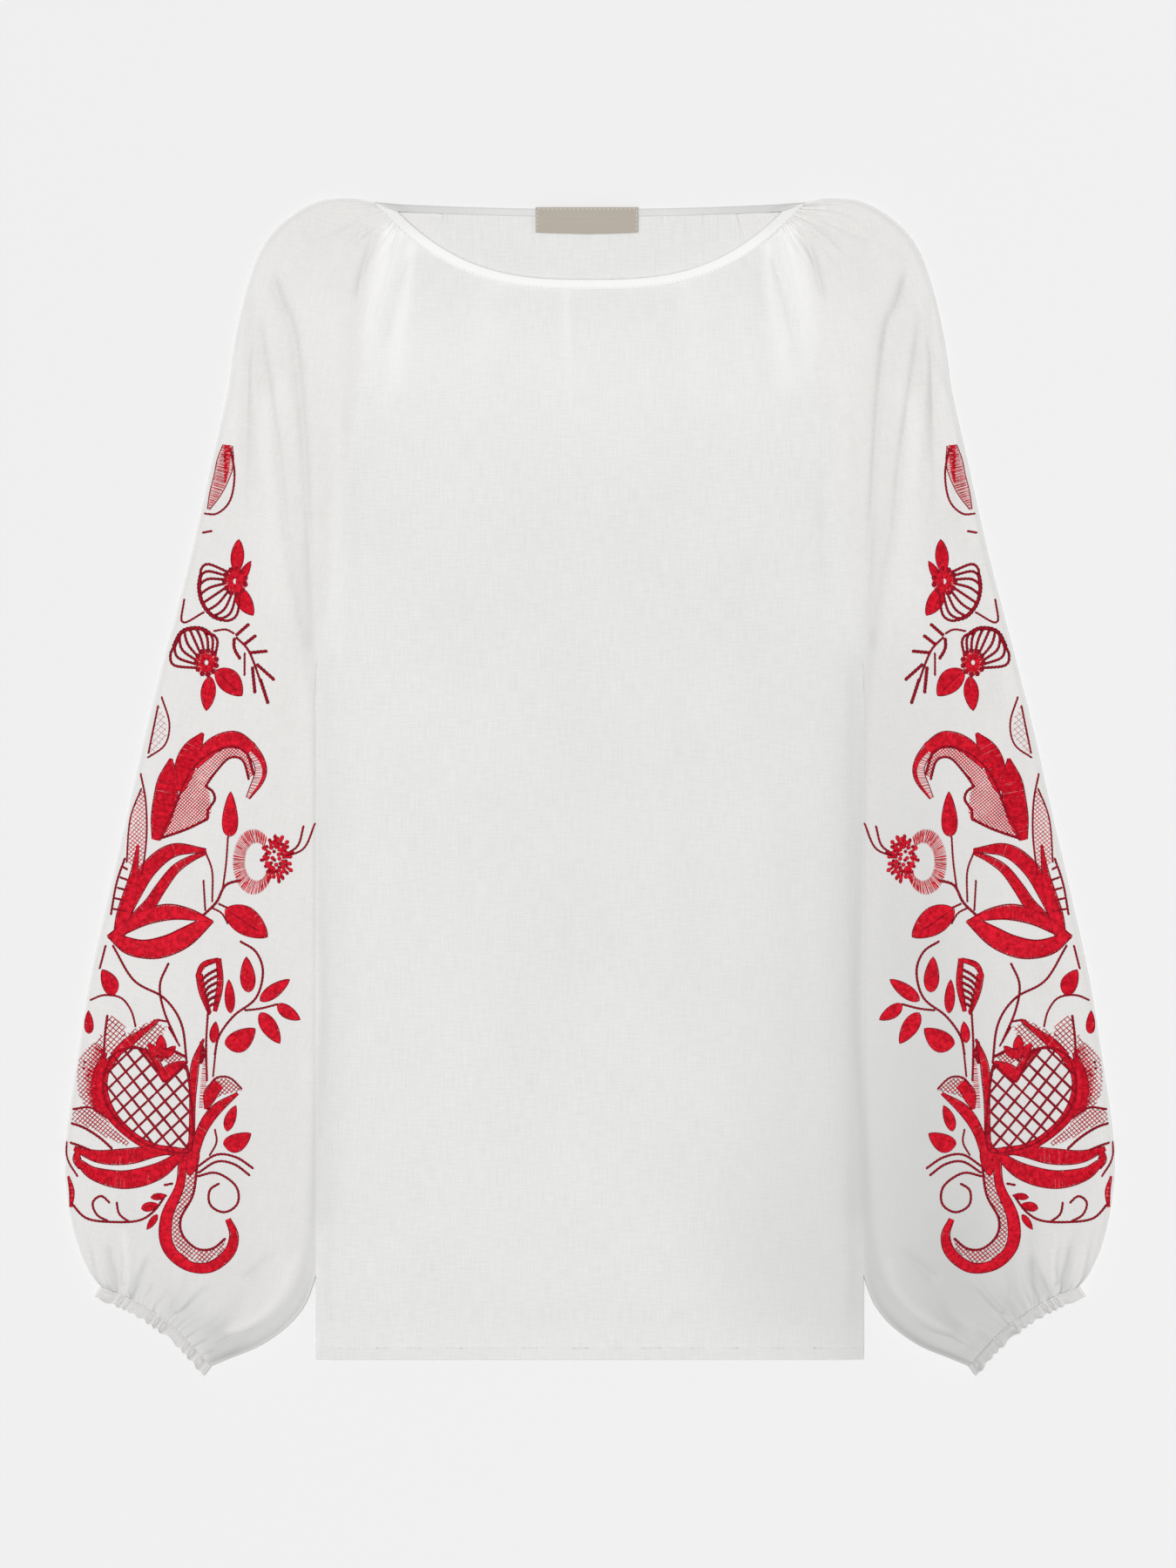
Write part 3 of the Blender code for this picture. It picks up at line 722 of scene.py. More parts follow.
def body_rows(seam_x, seam_y, rows_below):
    """Half widths and side heights of the body's rows, from the hem to the neck."""
    hem_top = HEM_Y + HEM_DEPTH
    hem = [HEM_Y, HEM_Y + 0.25, HEM_Y + 0.8, HEM_Y + 2.0, HEM_Y + 4.0, HEM_Y + 7.0]
    hem += [hem_top - 2.0, hem_top - 0.8, hem_top - 0.3, hem_top + 0.3, hem_top + 1.2]
    low_y = np.concatenate([hem, np.linspace(hem_top + 3.5, UNDERARM_Y, rows_below)[:-1]])
    up = slice(UNDERARM_ROW, None, -1)
    half = np.minimum(seam_x[up] + SEAM_LAP, BODY_HALF_WIDTH)
    return (
        np.concatenate([np.full(len(low_y), BODY_HALF_WIDTH), half]),
        np.concatenate([low_y, seam_y[up]]),
    )


def body_plan(half, side_y, neck_edge, fit_length, columns):
    """Plan points of a panel, denser toward its sides, bent up to the neck's edge."""
    even = np.linspace(-1.0, 1.0, columns + 1)
    across = even + 0.11 * np.sin(np.pi * even)
    x = half[:, None] * across
    drop = side_y[-1] - neck_edge(half[-1] * across)
    weight = smooth(1 - (side_y[-1] - side_y) / fit_length)
    return x, side_y[:, None] - weight[:, None] * drop


# %% [markdown]
# ## The front
# It is the largest plain surface of the shirt, so its low waves carry the look. Its hem is
# turned up twice, which makes it thicker for 8.6 mm, with a row of stitches along the top
# of the turn. Its sides roll down to the back, and its raglan edges sink into the seam.

# %% Front panel
HEM_EXTRA = 0.1
HEM_DROP = 0.6
HEM_FLAT = 40.0
EDGE_ROLL = 13.0
SEAM_BLEND = 30.0
NECK_FLAT = 25.0
FRONT_GATHERED = 260.0
front_half, front_side_y = body_rows(sleeve_table[:, 0], sleeve_table[:, 1], 120)
front_x, front_y = body_plan(
    front_half, front_side_y, lambda x: front_neck_edge(x) - 0.1, 120.0, BODY_COLUMNS
)


def body_height(x, y, half):
    """The front's height over the lowest place of the upper cloth."""
    side = half - np.abs(x)
    above = above_underarm(y)
    seam = seam_height(y)
    beside_seam = seam + (BODY_LOFT - seam) * rise(side, SEAM_BLEND) - seam_dip(side)
    beside_edge = BODY_LOFT * rise(side, EDGE_ROLL, 0.12) * np.sqrt(rise(side, 2.0))
    raised = mix(beside_edge, beside_seam, above)
    raised *= rise(y - HEM_Y, HEM_FLAT, 0.15)
    below_neck = front_neck_edge(x) - y
    raised *= 1 - 0.45 * (1 - rise(below_neck, NECK_FLAT)) * rise(side, 18.0)
    folds = both_halves(all_folds, x, y)
    calm = smooth(side / 4.0 + above) * rise(y - HEM_Y, 6.0)
    waves = slack(x, y, FRONT_WAVES) * rise(side, 20.0)
    small = gathers(x / FRONT_GATHERED + 0.5, below_neck, FRONT_GATHERS) * rise(side, 6.0)
    return np.maximum(raised + (folds + waves + small) * calm, 0.0)


front_raised = body_height(front_x, front_y, front_half[:, None])
front_hem = HEM_EXTRA * rise(HEM_Y + HEM_DEPTH - front_y, 0.8)
front_under = UPPER_Z + front_raised - HEM_DROP * (1 - rise(front_y - HEM_Y, 6.0))
front_panel = add_wall(
    "shirt_front",
    body_linen,
    flat_points(front_x, front_y, front_under + CLOTH + front_hem),
    flat_points(front_x, front_y, front_under),
    grid_quads(*front_x.shape),
)
mark_tone(front_panel, np.tile(both_halves(tone_share, front_x, front_y).ravel(), 2))
stands_for(front_panel, "front_panel")

# %% [markdown]
# ## The back
# The back lies flat under the front. It shows only inside the neck, where it is gathered
# into the strip: small uneven ridges that fade within a few centimetres.

# %% Back panel
BACK_GATHERED = 178.0
BACK_Z = 0.05
BACK_SLACK = 0.25
back_half, back_side_y = body_rows(sleeve_table[:, 2], sleeve_table[:, 3], 24)
back_x, back_y = body_plan(
    back_half, back_side_y, lambda x: back_hole_edge(x) - 0.1, 40.0, 180
)
back_away = back_hole_edge(back_x) - back_y
back_raised = gathers(back_x / BACK_GATHERED + 0.5, back_away, BACK_GATHERS)
back_slack = np.maximum(1 + slack(back_x, back_y, BACK_WAVES), 0.0)
back_raised += BACK_SLACK * back_slack * smooth(1 - back_away / 90.0)
back_raised *= rise(back_half[:, None] - np.abs(back_x), 3.0)
back_hem = HEM_EXTRA * 0.5 * rise(HEM_Y + HEM_DEPTH - back_y, 0.8)
back_panel = add_wall(
    "shirt_back",
    body_linen,
    flat_points(back_x, back_y, BACK_Z + CLOTH + back_raised + back_hem),
    flat_points(back_x, back_y, BACK_Z + back_raised),
    grid_quads(*back_x.shape),
)
stands_for(back_panel, "back_panel")

# %% [markdown]
# ## Sleeves
# A raglan sleeve is one piece of cloth with one seam under the arm, and it runs up to the
# neck between front and back. Laid flat it is a tube pressed to two layers, open where the
# front and the back join it. Each row of the mesh goes once round the tube.

# %% Sleeve plans
UPPER_COLUMNS = 112
UNDER_COLUMNS = 32


def neck_fit(front_row, x):
    """How far up the strip's edge lies at x, where the sleeve is sewn to it."""
    if front_row:
        return front_neck_edge(np.minimum(x, NECK_HALF)) - 0.1
    outer_x, outer_y = STATIONS[0][4:]
    clear = back_hole_edge(x) - 0.1
    corner = smooth((x - NECK_HOLE_HALF) / (outer_x - NECK_HOLE_HALF))
    return clear + corner * (outer_y - clear)


def sleeve_layer(front_row, columns):
    """Plan points of one layer, the upper or the under one, a row for each of the table."""
    inner = sleeve_table[:, 0:2] if front_row else sleeve_table[:, 2:4]
    outer = sleeve_table[:, 4:6]
    away = outer - inner
    toward = away / np.hypot(away[:, 0], away[:, 1])[:, None]
    start = inner + FOLD_RADIUS * toward
    end = outer - FOLD_RADIUS * toward
    t = np.linspace(0.0, 1.0, columns)
    plan = start[:, None, :] + t[None, :, None] * (end - start)[:, None, :]
    lift = neck_fit(front_row, plan[0, :, 0]) - plan[0, :, 1]
    down = np.hypot(*(inner - inner[0]).T)
    plan[:, :, 1] += smooth(1 - down / NECK_FIT_LENGTH)[:, None] * lift
    bow = smooth(1 - (down[-1] - down) / 92.0)[:, None] * (4 * t * (1 - t))[None, :]
    across = np.stack([toward[:, 1], -toward[:, 0]], axis=-1)
    return plan + CUFF_BOW * bow[:, :, None] * across[:, None, :], toward


upper_plan, upper_toward = sleeve_layer(True, UPPER_COLUMNS)
under_plan, under_toward = sleeve_layer(False, UNDER_COLUMNS)
middle_steps = np.diff(upper_plan[:, UPPER_COLUMNS // 2], axis=0)
print("sleeve length in mm:", round(float(np.hypot(*middle_steps.T).sum())))

# %% [markdown]
# ## Sleeve heights
# The slack of the tube stands highest in its middle. Beside the body it sinks to its inner
# fold, which gives the soft shadow along the body's side, and at both ends it is drawn in.


# %% Sleeve heights
CUFF_ROLL = 3.4
NECK_DRAWN_IN = 60.0
CUFF_DRAWN_IN = 85.0
BULK_REACH = 55.0
RAGLAN_REACH = 26.0
INNER_REACH = 45.0
HIGHEST = 10.0


def run_lengths(plan):
    """For each row, the distance of each point from the row's start."""
    steps = np.hypot(*np.diff(plan, axis=1).transpose(2, 0, 1))
    return np.concatenate([np.zeros((len(plan), 1)), np.cumsum(steps, axis=1)], axis=1)


def row_distances(plan):
    """The distance of each point from the neck end and from the cuff end."""
    down = run_lengths(plan.transpose(1, 0, 2)).T
    return down, down[-1:] - down


def lip(distance, reach):
    """Rises from 0 to 1 within its reach, steepest at once, like a rounded edge."""
    return np.sin(np.clip(distance / reach, 0.0, 1.0) * math.pi / 2)


def sleeve_height(side):
    """Height of the upper layer over its lowest place, for every grid point."""
    x, y = upper_plan[..., 0], upper_plan[..., 1]
    run = run_lengths(upper_plan)
    rest = run[:, -1:] - run
    down, left = row_distances(upper_plan)
    across = np.broadcast_to(np.linspace(0.0, 1.0, UPPER_COLUMNS), x.shape)
    beside_body = 1 - above_underarm(y)
    ends = rise(down, NECK_DRAWN_IN, 0.2) * rise(left, CUFF_DRAWN_IN, 0.12)
    bulk = SLEEVE_LOFT * ends * mix(lip(rest, 4.0), rise(rest, BULK_REACH), 0.84)
    seam = seam_height(y) * rise(rest, 8.0)
    raglan = seam + (bulk - seam) * rise(run, RAGLAN_REACH) - seam_dip(run)
    roll = lip(run, 8.0) * (1 - rise(run - 8.0, 34.0))
    roll *= (1 - rise(left - 30.0, 90.0)) * rise(left, 14.0, 0.3)
    folded_edge = bulk * mix(lip(run, 4.0), rise(run, INNER_REACH), 0.75) + CUFF_ROLL * roll
    raised = mix(raglan, folded_edge, beside_body)
    calm = rise(rest, 5.0) * smooth(run / 5.0 + 1 - beside_body)
    waves = slack(x, y, SLEEVE_WAVES, side) * rise(run, 14.0) * rise(rest, 14.0) * ends
    raised += (all_folds(x, y, side) + waves) * calm
    neck = gathers(across, down, NECK_GATHERS, side)
    raised += neck * rise(rest, 3.0) * rise(run, 4.0)
    cuff = gathers(across, left, CUFF_GATHERS, side)
    raised += cuff * rise(rest, 3.0) * rise(run, 3.0)
    return np.clip(raised, 0.0, HIGHEST)


def under_height(side):
    """Gathers of the under layer, which can only rise from the surface it lies on."""
    run = run_lengths(under_plan)
    rest = run[:, -1:] - run
    down, left = row_distances(under_plan)
    across = np.broadcast_to(np.linspace(0.0, 1.0, UNDER_COLUMNS), run.shape)
    raised = gathers(across, down, UNDER_NECK_GATHERS, side)
    raised += gathers(across, left, UNDER_CUFF_GATHERS, side)
    return raised * rise(run, 4.0) * rise(rest, 4.0)


# %% [markdown]
# ## Round the tube
# At each row the ring starts at the inner side, runs over the upper layer, round the outer
# fold, back under the lower layer and, below the underarm, round the inner fold.


# %% Sleeve rings
RING_START = 3
FOLD_STEPS = 5
FOLD_TONE = 0.8


def round_fold(edge, toward, radius, degrees):
    """Points round a folded edge, at these angles over the level of its middle."""
    angle = np.radians(degrees)[None, :, None]
    plan = edge[:, None, :] + toward[:, None, :] * radius * np.cos(angle)
    height = np.broadcast_to(FOLD_Z + radius * np.sin(angle), plan.shape[:2] + (1,))
    return np.concatenate([plan, height], axis=2)


def seam_edge(edge, toward, height, falls):
    """Points from a layer's first column out to the seam, sinking into it."""
    reach = FOLD_RADIUS + SEAM_LAP
    out = reach * np.array([1.0, 0.6, 0.25])
    plan = edge[:, None, :] - toward[:, None, :] * out[None, :, None]
    level = height[:, None] - falls * np.array([1.0, 0.55, 0.15])[None, :]
    return np.concatenate([plan, level[:, :, None]], axis=2)


def ring(upper, toward, under, low_toward, raised, low_raised, thick, closed_from):
    """One skin of the tube, thick above its lowest skin, as rows of ring points."""
    radius = FOLD_RADIUS - (CLOTH - thick)
    top = np.dstack([upper, UPPER_Z + raised + thick])
    floor = np.dstack([under, GROUND + low_raised + (CLOTH - thick)])[:, ::-1]
    fold = round_fold(upper[:, -1], toward, radius, [65, 35, 5])
    fold_low = round_fold(under[:, -1], low_toward, radius, [-25, -65])
    start = round_fold(upper[:, 0], -toward, radius, [10, 40, 70])
    close = round_fold(under[:, 0], -low_toward, radius, [-70, -40, -12])
    cut = slice(0, closed_from)
    if closed_from:
        start[cut] = seam_edge(upper[cut, 0], toward[cut], top[cut, 0, 2], 0.03)
        low_level = GROUND + low_raised[cut, 0] + (CLOTH - thick)
        close[cut] = seam_edge(under[cut, 0], low_toward[cut], low_level, 0.0)[:, ::-1]
    return np.concatenate([start, top, fold, fold_low, floor, close], axis=1)


def ring_quads(rows, columns, closed_from):
    """Grid quads, closed round every row from closed_from on."""
    last = np.arange(closed_from, rows - 1) * columns + columns - 1
    first = last - columns + 1
    closing = np.column_stack([last, first, first + columns, last + columns])
    return np.concatenate([grid_quads(rows, columns), closing])


def add_tube(name, finish, side, plans, heights, closed_from):
    """Both skins of a flattened tube, for the wearer's left (+1) or right (-1)."""
    upper = plans[0]
    outer, inner = (ring(*plans, *heights, thick, closed_from) for thick in (CLOTH, 0.0))
    quads = ring_quads(outer.shape[0], outer.shape[1], closed_from)
    turned = np.array([side, 1.0, 1.0])
    tube = add_wall(
        name, finish, outer.reshape(-1, 3) * turned, inner.reshape(-1, 3) * turned, quads
    )
    tone = np.zeros(outer.shape[:2])
    top = slice(RING_START, RING_START + upper.shape[1])
    tone[:, top] = tone_share(upper[..., 0], upper[..., 1], side)
    tone[:, :RING_START] = tone[:, [RING_START]]
    tone[:, top.stop : top.stop + FOLD_STEPS] = FOLD_TONE
    mark_tone(tube, np.tile(tone.ravel(), 2))
    return tube


SIDES = {"left": LEFT, "right": RIGHT}
plans = (upper_plan, upper_toward, under_plan, under_toward)
sleeves = {}
for word, side in SIDES.items():
    heights = (sleeve_height(side), under_height(side))
    sleeve = add_tube(
        f"shirt_sleeve_{word}", sleeve_linen[side], side, plans, heights, UNDERARM_ROW
    )
    stands_for(sleeve, f"sleeve_{word}")
    sleeves[side] = sleeve

# %% [markdown]
# ## Elastic casings
# The sleeve's end is turned over a narrow elastic and stitched, which draws it into a row
# of tight ruffles. The casing is its own short tube, ruffled all round, with a wavy rim.

# %% Cuff casings
RUFFLES = 13
RUFFLE_TOP = 1.9
RUFFLE_LOW = 0.9
CASING_ROWS = (0.02, 0.12, 0.3, 0.5, 0.7, 0.88, 1.0)
CASING_COLUMNS = 150


def ruffle_turns(t):
    """The ruffles' angle along the rim: they are wide here and narrow there."""
    return 2 * math.pi * RUFFLES * t + 2.6 * np.sin(9 * t) + 1.7 * np.sin(23 * t + 1)


def casing_plan(plan, toward):
    """Rows of one layer of the casing, from the seam to the rim."""
    outward = np.array([toward[-1][1], -toward[-1][0]])
    t = np.linspace(0, 1, CASING_COLUMNS)
    wave = np.sin(ruffle_turns(t))
    rows = []
    for part in CASING_ROWS:
        away = CASING_LENGTH * part + 0.75 * part**2 * wave * np.sin(math.pi * t) ** 0.3
        rows.append(plan[-1] + outward * away[:, None])
    return np.array(rows), np.repeat(toward[-1:], len(rows), axis=0)


def casing_height(tall, seed):
    """Ruffles that are pinched where the elastic's two stitch rows run."""
    t = np.linspace(0, 1, CASING_COLUMNS)
    wave = 0.5 + 0.5 * np.sin(ruffle_turns(t) + seed)
    uneven = 0.6 + 0.4 * np.sin(17 * t + seed)
    pinch = np.array([0.55, 0.35, 1.0, 1.25, 1.0, 0.5, 1.3])
    edge = smooth(t / 0.03) * smooth((1 - t) / 0.03)
    return tall * pinch[:, None] * (0.35 + wave * uneven)[None, :] * edge[None, :]


wide_upper, wide_toward = sleeve_layer(True, CASING_COLUMNS)
wide_under, _ = sleeve_layer(False, CASING_COLUMNS)
rim_upper, rim_toward = casing_plan(wide_upper, wide_toward)
rim_under, _ = casing_plan(wide_under, wide_toward)
rim_plans = (rim_upper, rim_toward, rim_under, rim_toward)
casings = {}
for word, side in SIDES.items():
    heights = (casing_height(RUFFLE_TOP, 0.4 + side), casing_height(RUFFLE_LOW, 2.0))
    casing = add_tube(f"shirt_cuff_{word}", casing_linen, side, rim_plans, heights, 0)
    stands_for(casing, f"cuff_casing_{word}")
    casings[side] = casing

# %% [markdown]
# ## The neck strip
# One strip of bias-cut linen is folded round the neck's raw edge and stitched, so four
# layers of cloth make it the thickest and brightest line of the shirt. A closed ring with
# a rounded section follows the four neck curves and lies on whatever is under it.

# %% Neck strip
STRIP_STATIONS = 150
STRIP_HIGH = 1.9
STRIP_LOW = 0.3
STRIP_SEAM_LIFT = 0.55 * seam_height(340.0)
STRIP_MIDDLE_LIFT = 0.9
STRIP_CORNER = 0.999
STRIP_CORNER_LIFT = 0.4
STRIP_SECTION = [
    (0.0, 0.0), (-0.03, 0.6), (0.02, 0.94), (0.12, 1.02), (0.5, 1.06), (0.88, 1.02),
    (0.98, 0.94), (1.03, 0.6), (1.0, 0.0),
]


def strip_section(part, front):
    """The section of the strip at one place, part being -1 to 1 across the neck."""
    outer_x, inner_x = NECK_HALF * part, NECK_HOLE_HALF * part
    if front:
        outer_y, inner_y = front_neck_edge(outer_x), front_hole_edge(inner_x)
        lift = UPPER_Z + STRIP_SEAM_LIFT + STRIP_MIDDLE_LIFT * (1 - part**4)
    else:
        outer_y, inner_y = back_neck_edge(outer_x), back_hole_edge(inner_x)
        lift = STRIP_LOW + (UPPER_Z + 0.15) * rise(abs(part) - 0.86, 0.12)
    if abs(part) > STRIP_CORNER:
        outer_y, inner_y = back_neck_edge(outer_x), back_hole_edge(inner_x)
        lift = UPPER_Z + STRIP_CORNER_LIFT
    return [
        (mix(outer_x, inner_x, across), mix(outer_y, inner_y, across), lift + STRIP_HIGH * high)
        for across, high in STRIP_SECTION
    ]


turns = np.linspace(-math.pi / 2, math.pi / 2, STRIP_STATIONS + 1)
strip_parts = np.sin(turns) * 0.6 + np.linspace(-1, 1, STRIP_STATIONS + 1) * 0.4
strip_sections = [strip_section(part, True) for part in strip_parts]
strip_sections += [strip_section(part, False) for part in strip_parts[-2:0:-1]]
strip_points = np.array(strip_sections)
strip_count, strip_sides = strip_points.shape[:2]
strip_faces = []
for place, corner in itertools.product(range(strip_count), range(strip_sides)):
    here, there = place * strip_sides, (place + 1) % strip_count * strip_sides
    after = (corner + 1) % strip_sides
    strip_faces.append((here + corner, here + after, there + after, there + corner))
neck_strip = add_mesh("shirt_neck_strip", binding_linen, strip_points.reshape(-1, 3), strip_faces)
# The strip's back half is dimmed with painted shade, most toward its ends; the front half is
# whitened as doubled cloth, less at its corners.
back_parts = np.abs(strip_parts[-2:0:-1])
front_tones = 0.62 - 0.4 * rise(np.abs(strip_parts) - 0.78, 0.2)
back_strip_painted_shade = -0.3 - 0.4 * rise(back_parts - 0.4, 0.5)
mark_tone(neck_strip, np.repeat(np.concatenate([front_tones, back_strip_painted_shade]), strip_sides))
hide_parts("neck_binding")
print("strip sections:", strip_count)

# %% [markdown]
# ## The label
# It is a rectangle of tape, sewn over the back strip, that hangs down inside the neck. Its
# lower edge bows a little. It carries nothing.

# %% Label
LABEL_MIDDLE = -1.7
LABEL_TOP = BACK_NECK_Y + 1.0
LABEL_WIDTH = 61.2
LABEL_HEIGHT = 14.8
LABEL_THICK = 0.5

label_t = np.linspace(-1, 1, 31)
label_x = LABEL_MIDDLE + label_t * LABEL_WIDTH / 2
label_drop = np.array([0.0, 0.4, 2.0, 4.4, 5.2, 6.4, 8.0, 10.0, 12.4, 14.2, LABEL_HEIGHT])
label_bow = 0.9 * (1 - label_t**2)
label_y = LABEL_TOP - label_drop[:, None] * (1 + label_bow[None, :] / LABEL_HEIGHT)
label_lie = 3.2 - 0.8 * smooth((label_drop - 4.4) / 5.0)
label_curl = 0.35 * np.abs(label_t) ** 3 + 0.12 * np.sin(5 * label_t)
label_z = label_lie[:, None] + label_curl[None, :] * smooth(label_drop / 9.0)[:, None]
neck_label = add_wall(
    "shirt_neck_label",
    label_tape,
    flat_points(label_x[None, :], label_y, label_z + LABEL_THICK),
    flat_points(label_x[None, :], label_y, label_z),
    grid_quads(*label_z.shape),
)
stands_for(neck_label, "neck_label")

# %% [markdown]
# ## Embroidery on squared paper
# Crewel work of this kind is planned on squared paper. A square here is 5.2 mm, columns
# count inward from 352 mm outside the shirt's middle and rows down from 470 mm above the
# origin. The motifs are the common ones of the craft: bud, bell, leaf, scroll, wreath,
# pomegranate. Each is built from a few simple lines with widths beside them, and is then
# filled with real stitches. The other sleeve is its mirror image.

# %% Pattern paper
SQUARE = 5.2
PAPER_EDGE = 352.0
PAPER_TOP = 470.1
BAND_STEPS = 49


def on_paper(points):
    """Squares of the paper, turned to millimetres on the wearer's left sleeve."""
    points = np.asarray(points, float)
    return np.column_stack(
        [PAPER_EDGE - SQUARE * points[:, 0], PAPER_TOP - SQUARE * points[:, 1]]
    )


def drawn(points):
    """A smooth pencil line through a few squares."""
    return on_paper(through(points, CURVE_STEPS))


def length_of(line):
    """How long a line is, in millimetres."""
    return float(np.hypot(*np.diff(line, axis=0).T).sum())


def at_parts(line, parts):
    """Points at these parts, 0 to 1, of a line's length."""
    run = np.concatenate([[0.0], np.cumsum(np.hypot(*np.diff(line, axis=0).T))])
    run /= run[-1]
    return np.column_stack([np.interp(parts, run, line[:, i]) for i in (0, 1)])


def beside(spine, widths):
    """A line beside a spine: widths in squares at even steps, right of its way if positive."""
    even = at_parts(drawn(spine), np.linspace(0, 1, BAND_STEPS))
    way = np.gradient(even, axis=0)
    way /= np.hypot(*way.T)[:, None]
    steps = through(list(enumerate(widths)), 12)
    away = np.interp(np.linspace(0, len(widths) - 1, BAND_STEPS), steps[:, 0], steps[:, 1])
    return even + np.column_stack([-way[:, 1], way[:, 0]]) * away[:, None] * SQUARE


# %% [markdown]
# ## Kinds of stitch
# Satin stitches lie side by side across a shape and are broken where they get long. Stem
# stitches follow a line and twist like a rope. A net is two crossing sets of threads, and
# lets the white cloth through, so it looks pink. A knot is three short stitches that cross.

# %% Kinds of stitch
THREAD = 0.62
THREAD_GAP = 0.4
LONGEST = 5.5
NET_GAP = 2.0
NET_THREAD = 0.65
STEM_EXTRA = 0.5
STEM_STITCH = 2.2
# DARK stitches are sewn in the red thread's painted-shade copy
RED, DARK = 0, 1

needle = np.random.default_rng(7)
pattern = []


def sew(start, end, width, shade):
    """Notes stitches from start to end, breaking the ones that are too long."""
    for a, b in zip(start, end):
        count = max(1, math.ceil(math.hypot(*(b - a)) / LONGEST))
        breaks = np.linspace(0, 1, count + 1)
        breaks[1:-1] += needle.uniform(-0.35, 0.35, count - 1) / count
        lap = 0.03 + 0.12 * (count > 1)
        for first, last in zip(breaks, breaks[1:]):
            first, last = max(first - lap, -0.03), min(last + lap, 1.03)
            pattern.append((*mix(a, b, first), *mix(a, b, last), width, shade))


def lay(first, second, gap=THREAD_GAP, width=THREAD, shade=RED, part=(0, 1), slant=0.0):
    """Stitches side by side from one line across to another, between two parts of the way."""
    count = max(3, int(max(length_of(first), length_of(second)) / gap))
    place = np.linspace(0, 1, count) + needle.uniform(-0.3, 0.3, count) / count
    a = at_parts(first, np.clip(place - slant / 2, 0, 1))
    b = at_parts(second, np.clip(place + slant / 2, 0, 1))
    uneven = 0.12 * (part[1] < 1)
    stop = (part[1] + needle.uniform(-uneven, uneven, count))[:, None]
    keep = np.hypot(*(b - a).T) > 0.35
    sew(mix(a, b, part[0])[keep], mix(a, b, stop)[keep], width, shade)


def band(spine, left, right, **stitching):
    """Satin stitch between two lines beside a spine."""
    lay(beside(spine, [-w for w in left]), beside(spine, right), **stitching)


def stem(points, width=1.15, shade=DARK):
    """A line of stem stitches through a few squares."""
    edging(drawn(points), width + STEM_EXTRA, shade)


def edging(line, width=0.75, shade=DARK):
    """Stem stitches along a line in millimetres, each a little askew."""
    count = max(1, round(length_of(line) / STEM_STITCH))
    holes = at_parts(line, np.linspace(0, 1, count + 1))
    way = np.diff(holes, axis=0)
    way /= np.maximum(np.hypot(*way.T), 1e-6)[:, None]
    askew = np.column_stack([-way[:, 1], way[:, 0]]) * width * 0.1
    sew(holes[:-1] - way * 0.4 - askew, holes[1:] + way * 0.4 + askew, width, shade)


def blade(spine, half, **stitching):
    """A band of satin stitch that is as wide on both sides of its spine, with dark edges."""
    band(spine, half, half, **stitching)
    edging(beside(spine, [-w * 0.94 for w in half]))
    edging(beside(spine, [w * 0.94 for w in half]))


def inside_of(outline, points):
    """Which points lie inside a closed outline: an odd number of edges is to one side."""
    ends = np.roll(outline, -1, axis=0)
    x, y = points[:, 0:1], points[:, 1:2]
    spans = (outline[:, 1] > y) != (ends[:, 1] > y)
    rise = np.where(ends[:, 1] == outline[:, 1], 1e-9, ends[:, 1] - outline[:, 1])
    cross = outline[:, 0] + (y - outline[:, 1]) / rise * (ends[:, 0] - outline[:, 0])
    return (spans & (x < cross)).sum(axis=1) % 2 == 1


def trellis(edge, headings, gap, width, shade):
    """Straight threads in each heading, wherever they run inside a closed line."""
    middle = edge.mean(axis=0)
    reach = np.hypot(*(edge - middle).T).max()
    steps = np.arange(-reach, reach, 0.4)
    for heading in np.radians(headings):
        way = np.array([math.cos(heading), math.sin(heading)])
        off = np.array([-way[1], way[0]])
        for apart in np.arange(-reach + gap / 2, reach, gap):
            line = middle + off * apart + way * steps[:, None]
            kept = np.flatnonzero(np.diff(np.pad(inside_of(edge, line).astype(int), 1)))
            for start, stop in zip(kept[::2], kept[1::2]):
                if stop - start > 1:
                    sew(line[start : start + 1], line[stop - 1 : stop], width, shade)


def net(first, second, gap=NET_GAP, width=NET_THREAD, crossing=DARK):
    """A net of red and mostly dark threads between two lines that run the same way."""
    edge = np.vstack([first, second[::-1]])
    trellis(edge, (38.0,), gap, width, RED)
    trellis(edge, (-47.0,), gap, width, crossing)


def knots(spots, size=2.0, shade=DARK):
    """Raised knots at the given squares."""
    for spot in on_paper(spots):
        for turn in needle.uniform(0, math.pi) + np.array([0.0, 1.05, 2.1]):
            arm = np.array([math.cos(turn), math.sin(turn)]) * size / 2
            sew([spot - arm], [spot + arm], size * 0.55, shade)


def leaf(base, tip, wide, lean=0.0, fullest=0.42, vein=False, shade=RED):
    """A leaf of two halves, stitched at a slant from its vein to its edges."""
    ends = on_paper([base, tip])
    axis = ends[1] - ends[0]
    side = np.array([-axis[1], axis[0]]) / math.hypot(*axis)
    u = np.linspace(0, 1, 25)
    swell = np.sin(math.pi * u ** (math.log(0.5) / math.log(fullest))) ** 0.7
    middle = ends[0] + axis * u[:, None]
    for turn in (1, -1):
        half = wide * SQUARE / 2 * (1 + turn * lean) * swell
        start = middle - side * (turn * 0.12 * half)[:, None]
        edge = middle + side * (turn * half)[:, None]
        lay(start, edge, slant=0.12, shade=shade)
        edging(mix(middle, edge, 0.93), 0.7)
    if vein:
        inner = mix(np.array(base, float), np.array(tip, float), np.array([[0.15], [0.5], [0.8]]))
        stem(inner, 0.9)


def circle(middle, wide, high, start, end, count=9):
    """Squares along part of an oval, its angles in degrees."""
    angle = np.radians(np.linspace(start, end, count))
    return np.column_stack([middle[0] + wide * np.cos(angle), middle[1] + high * np.sin(angle)])


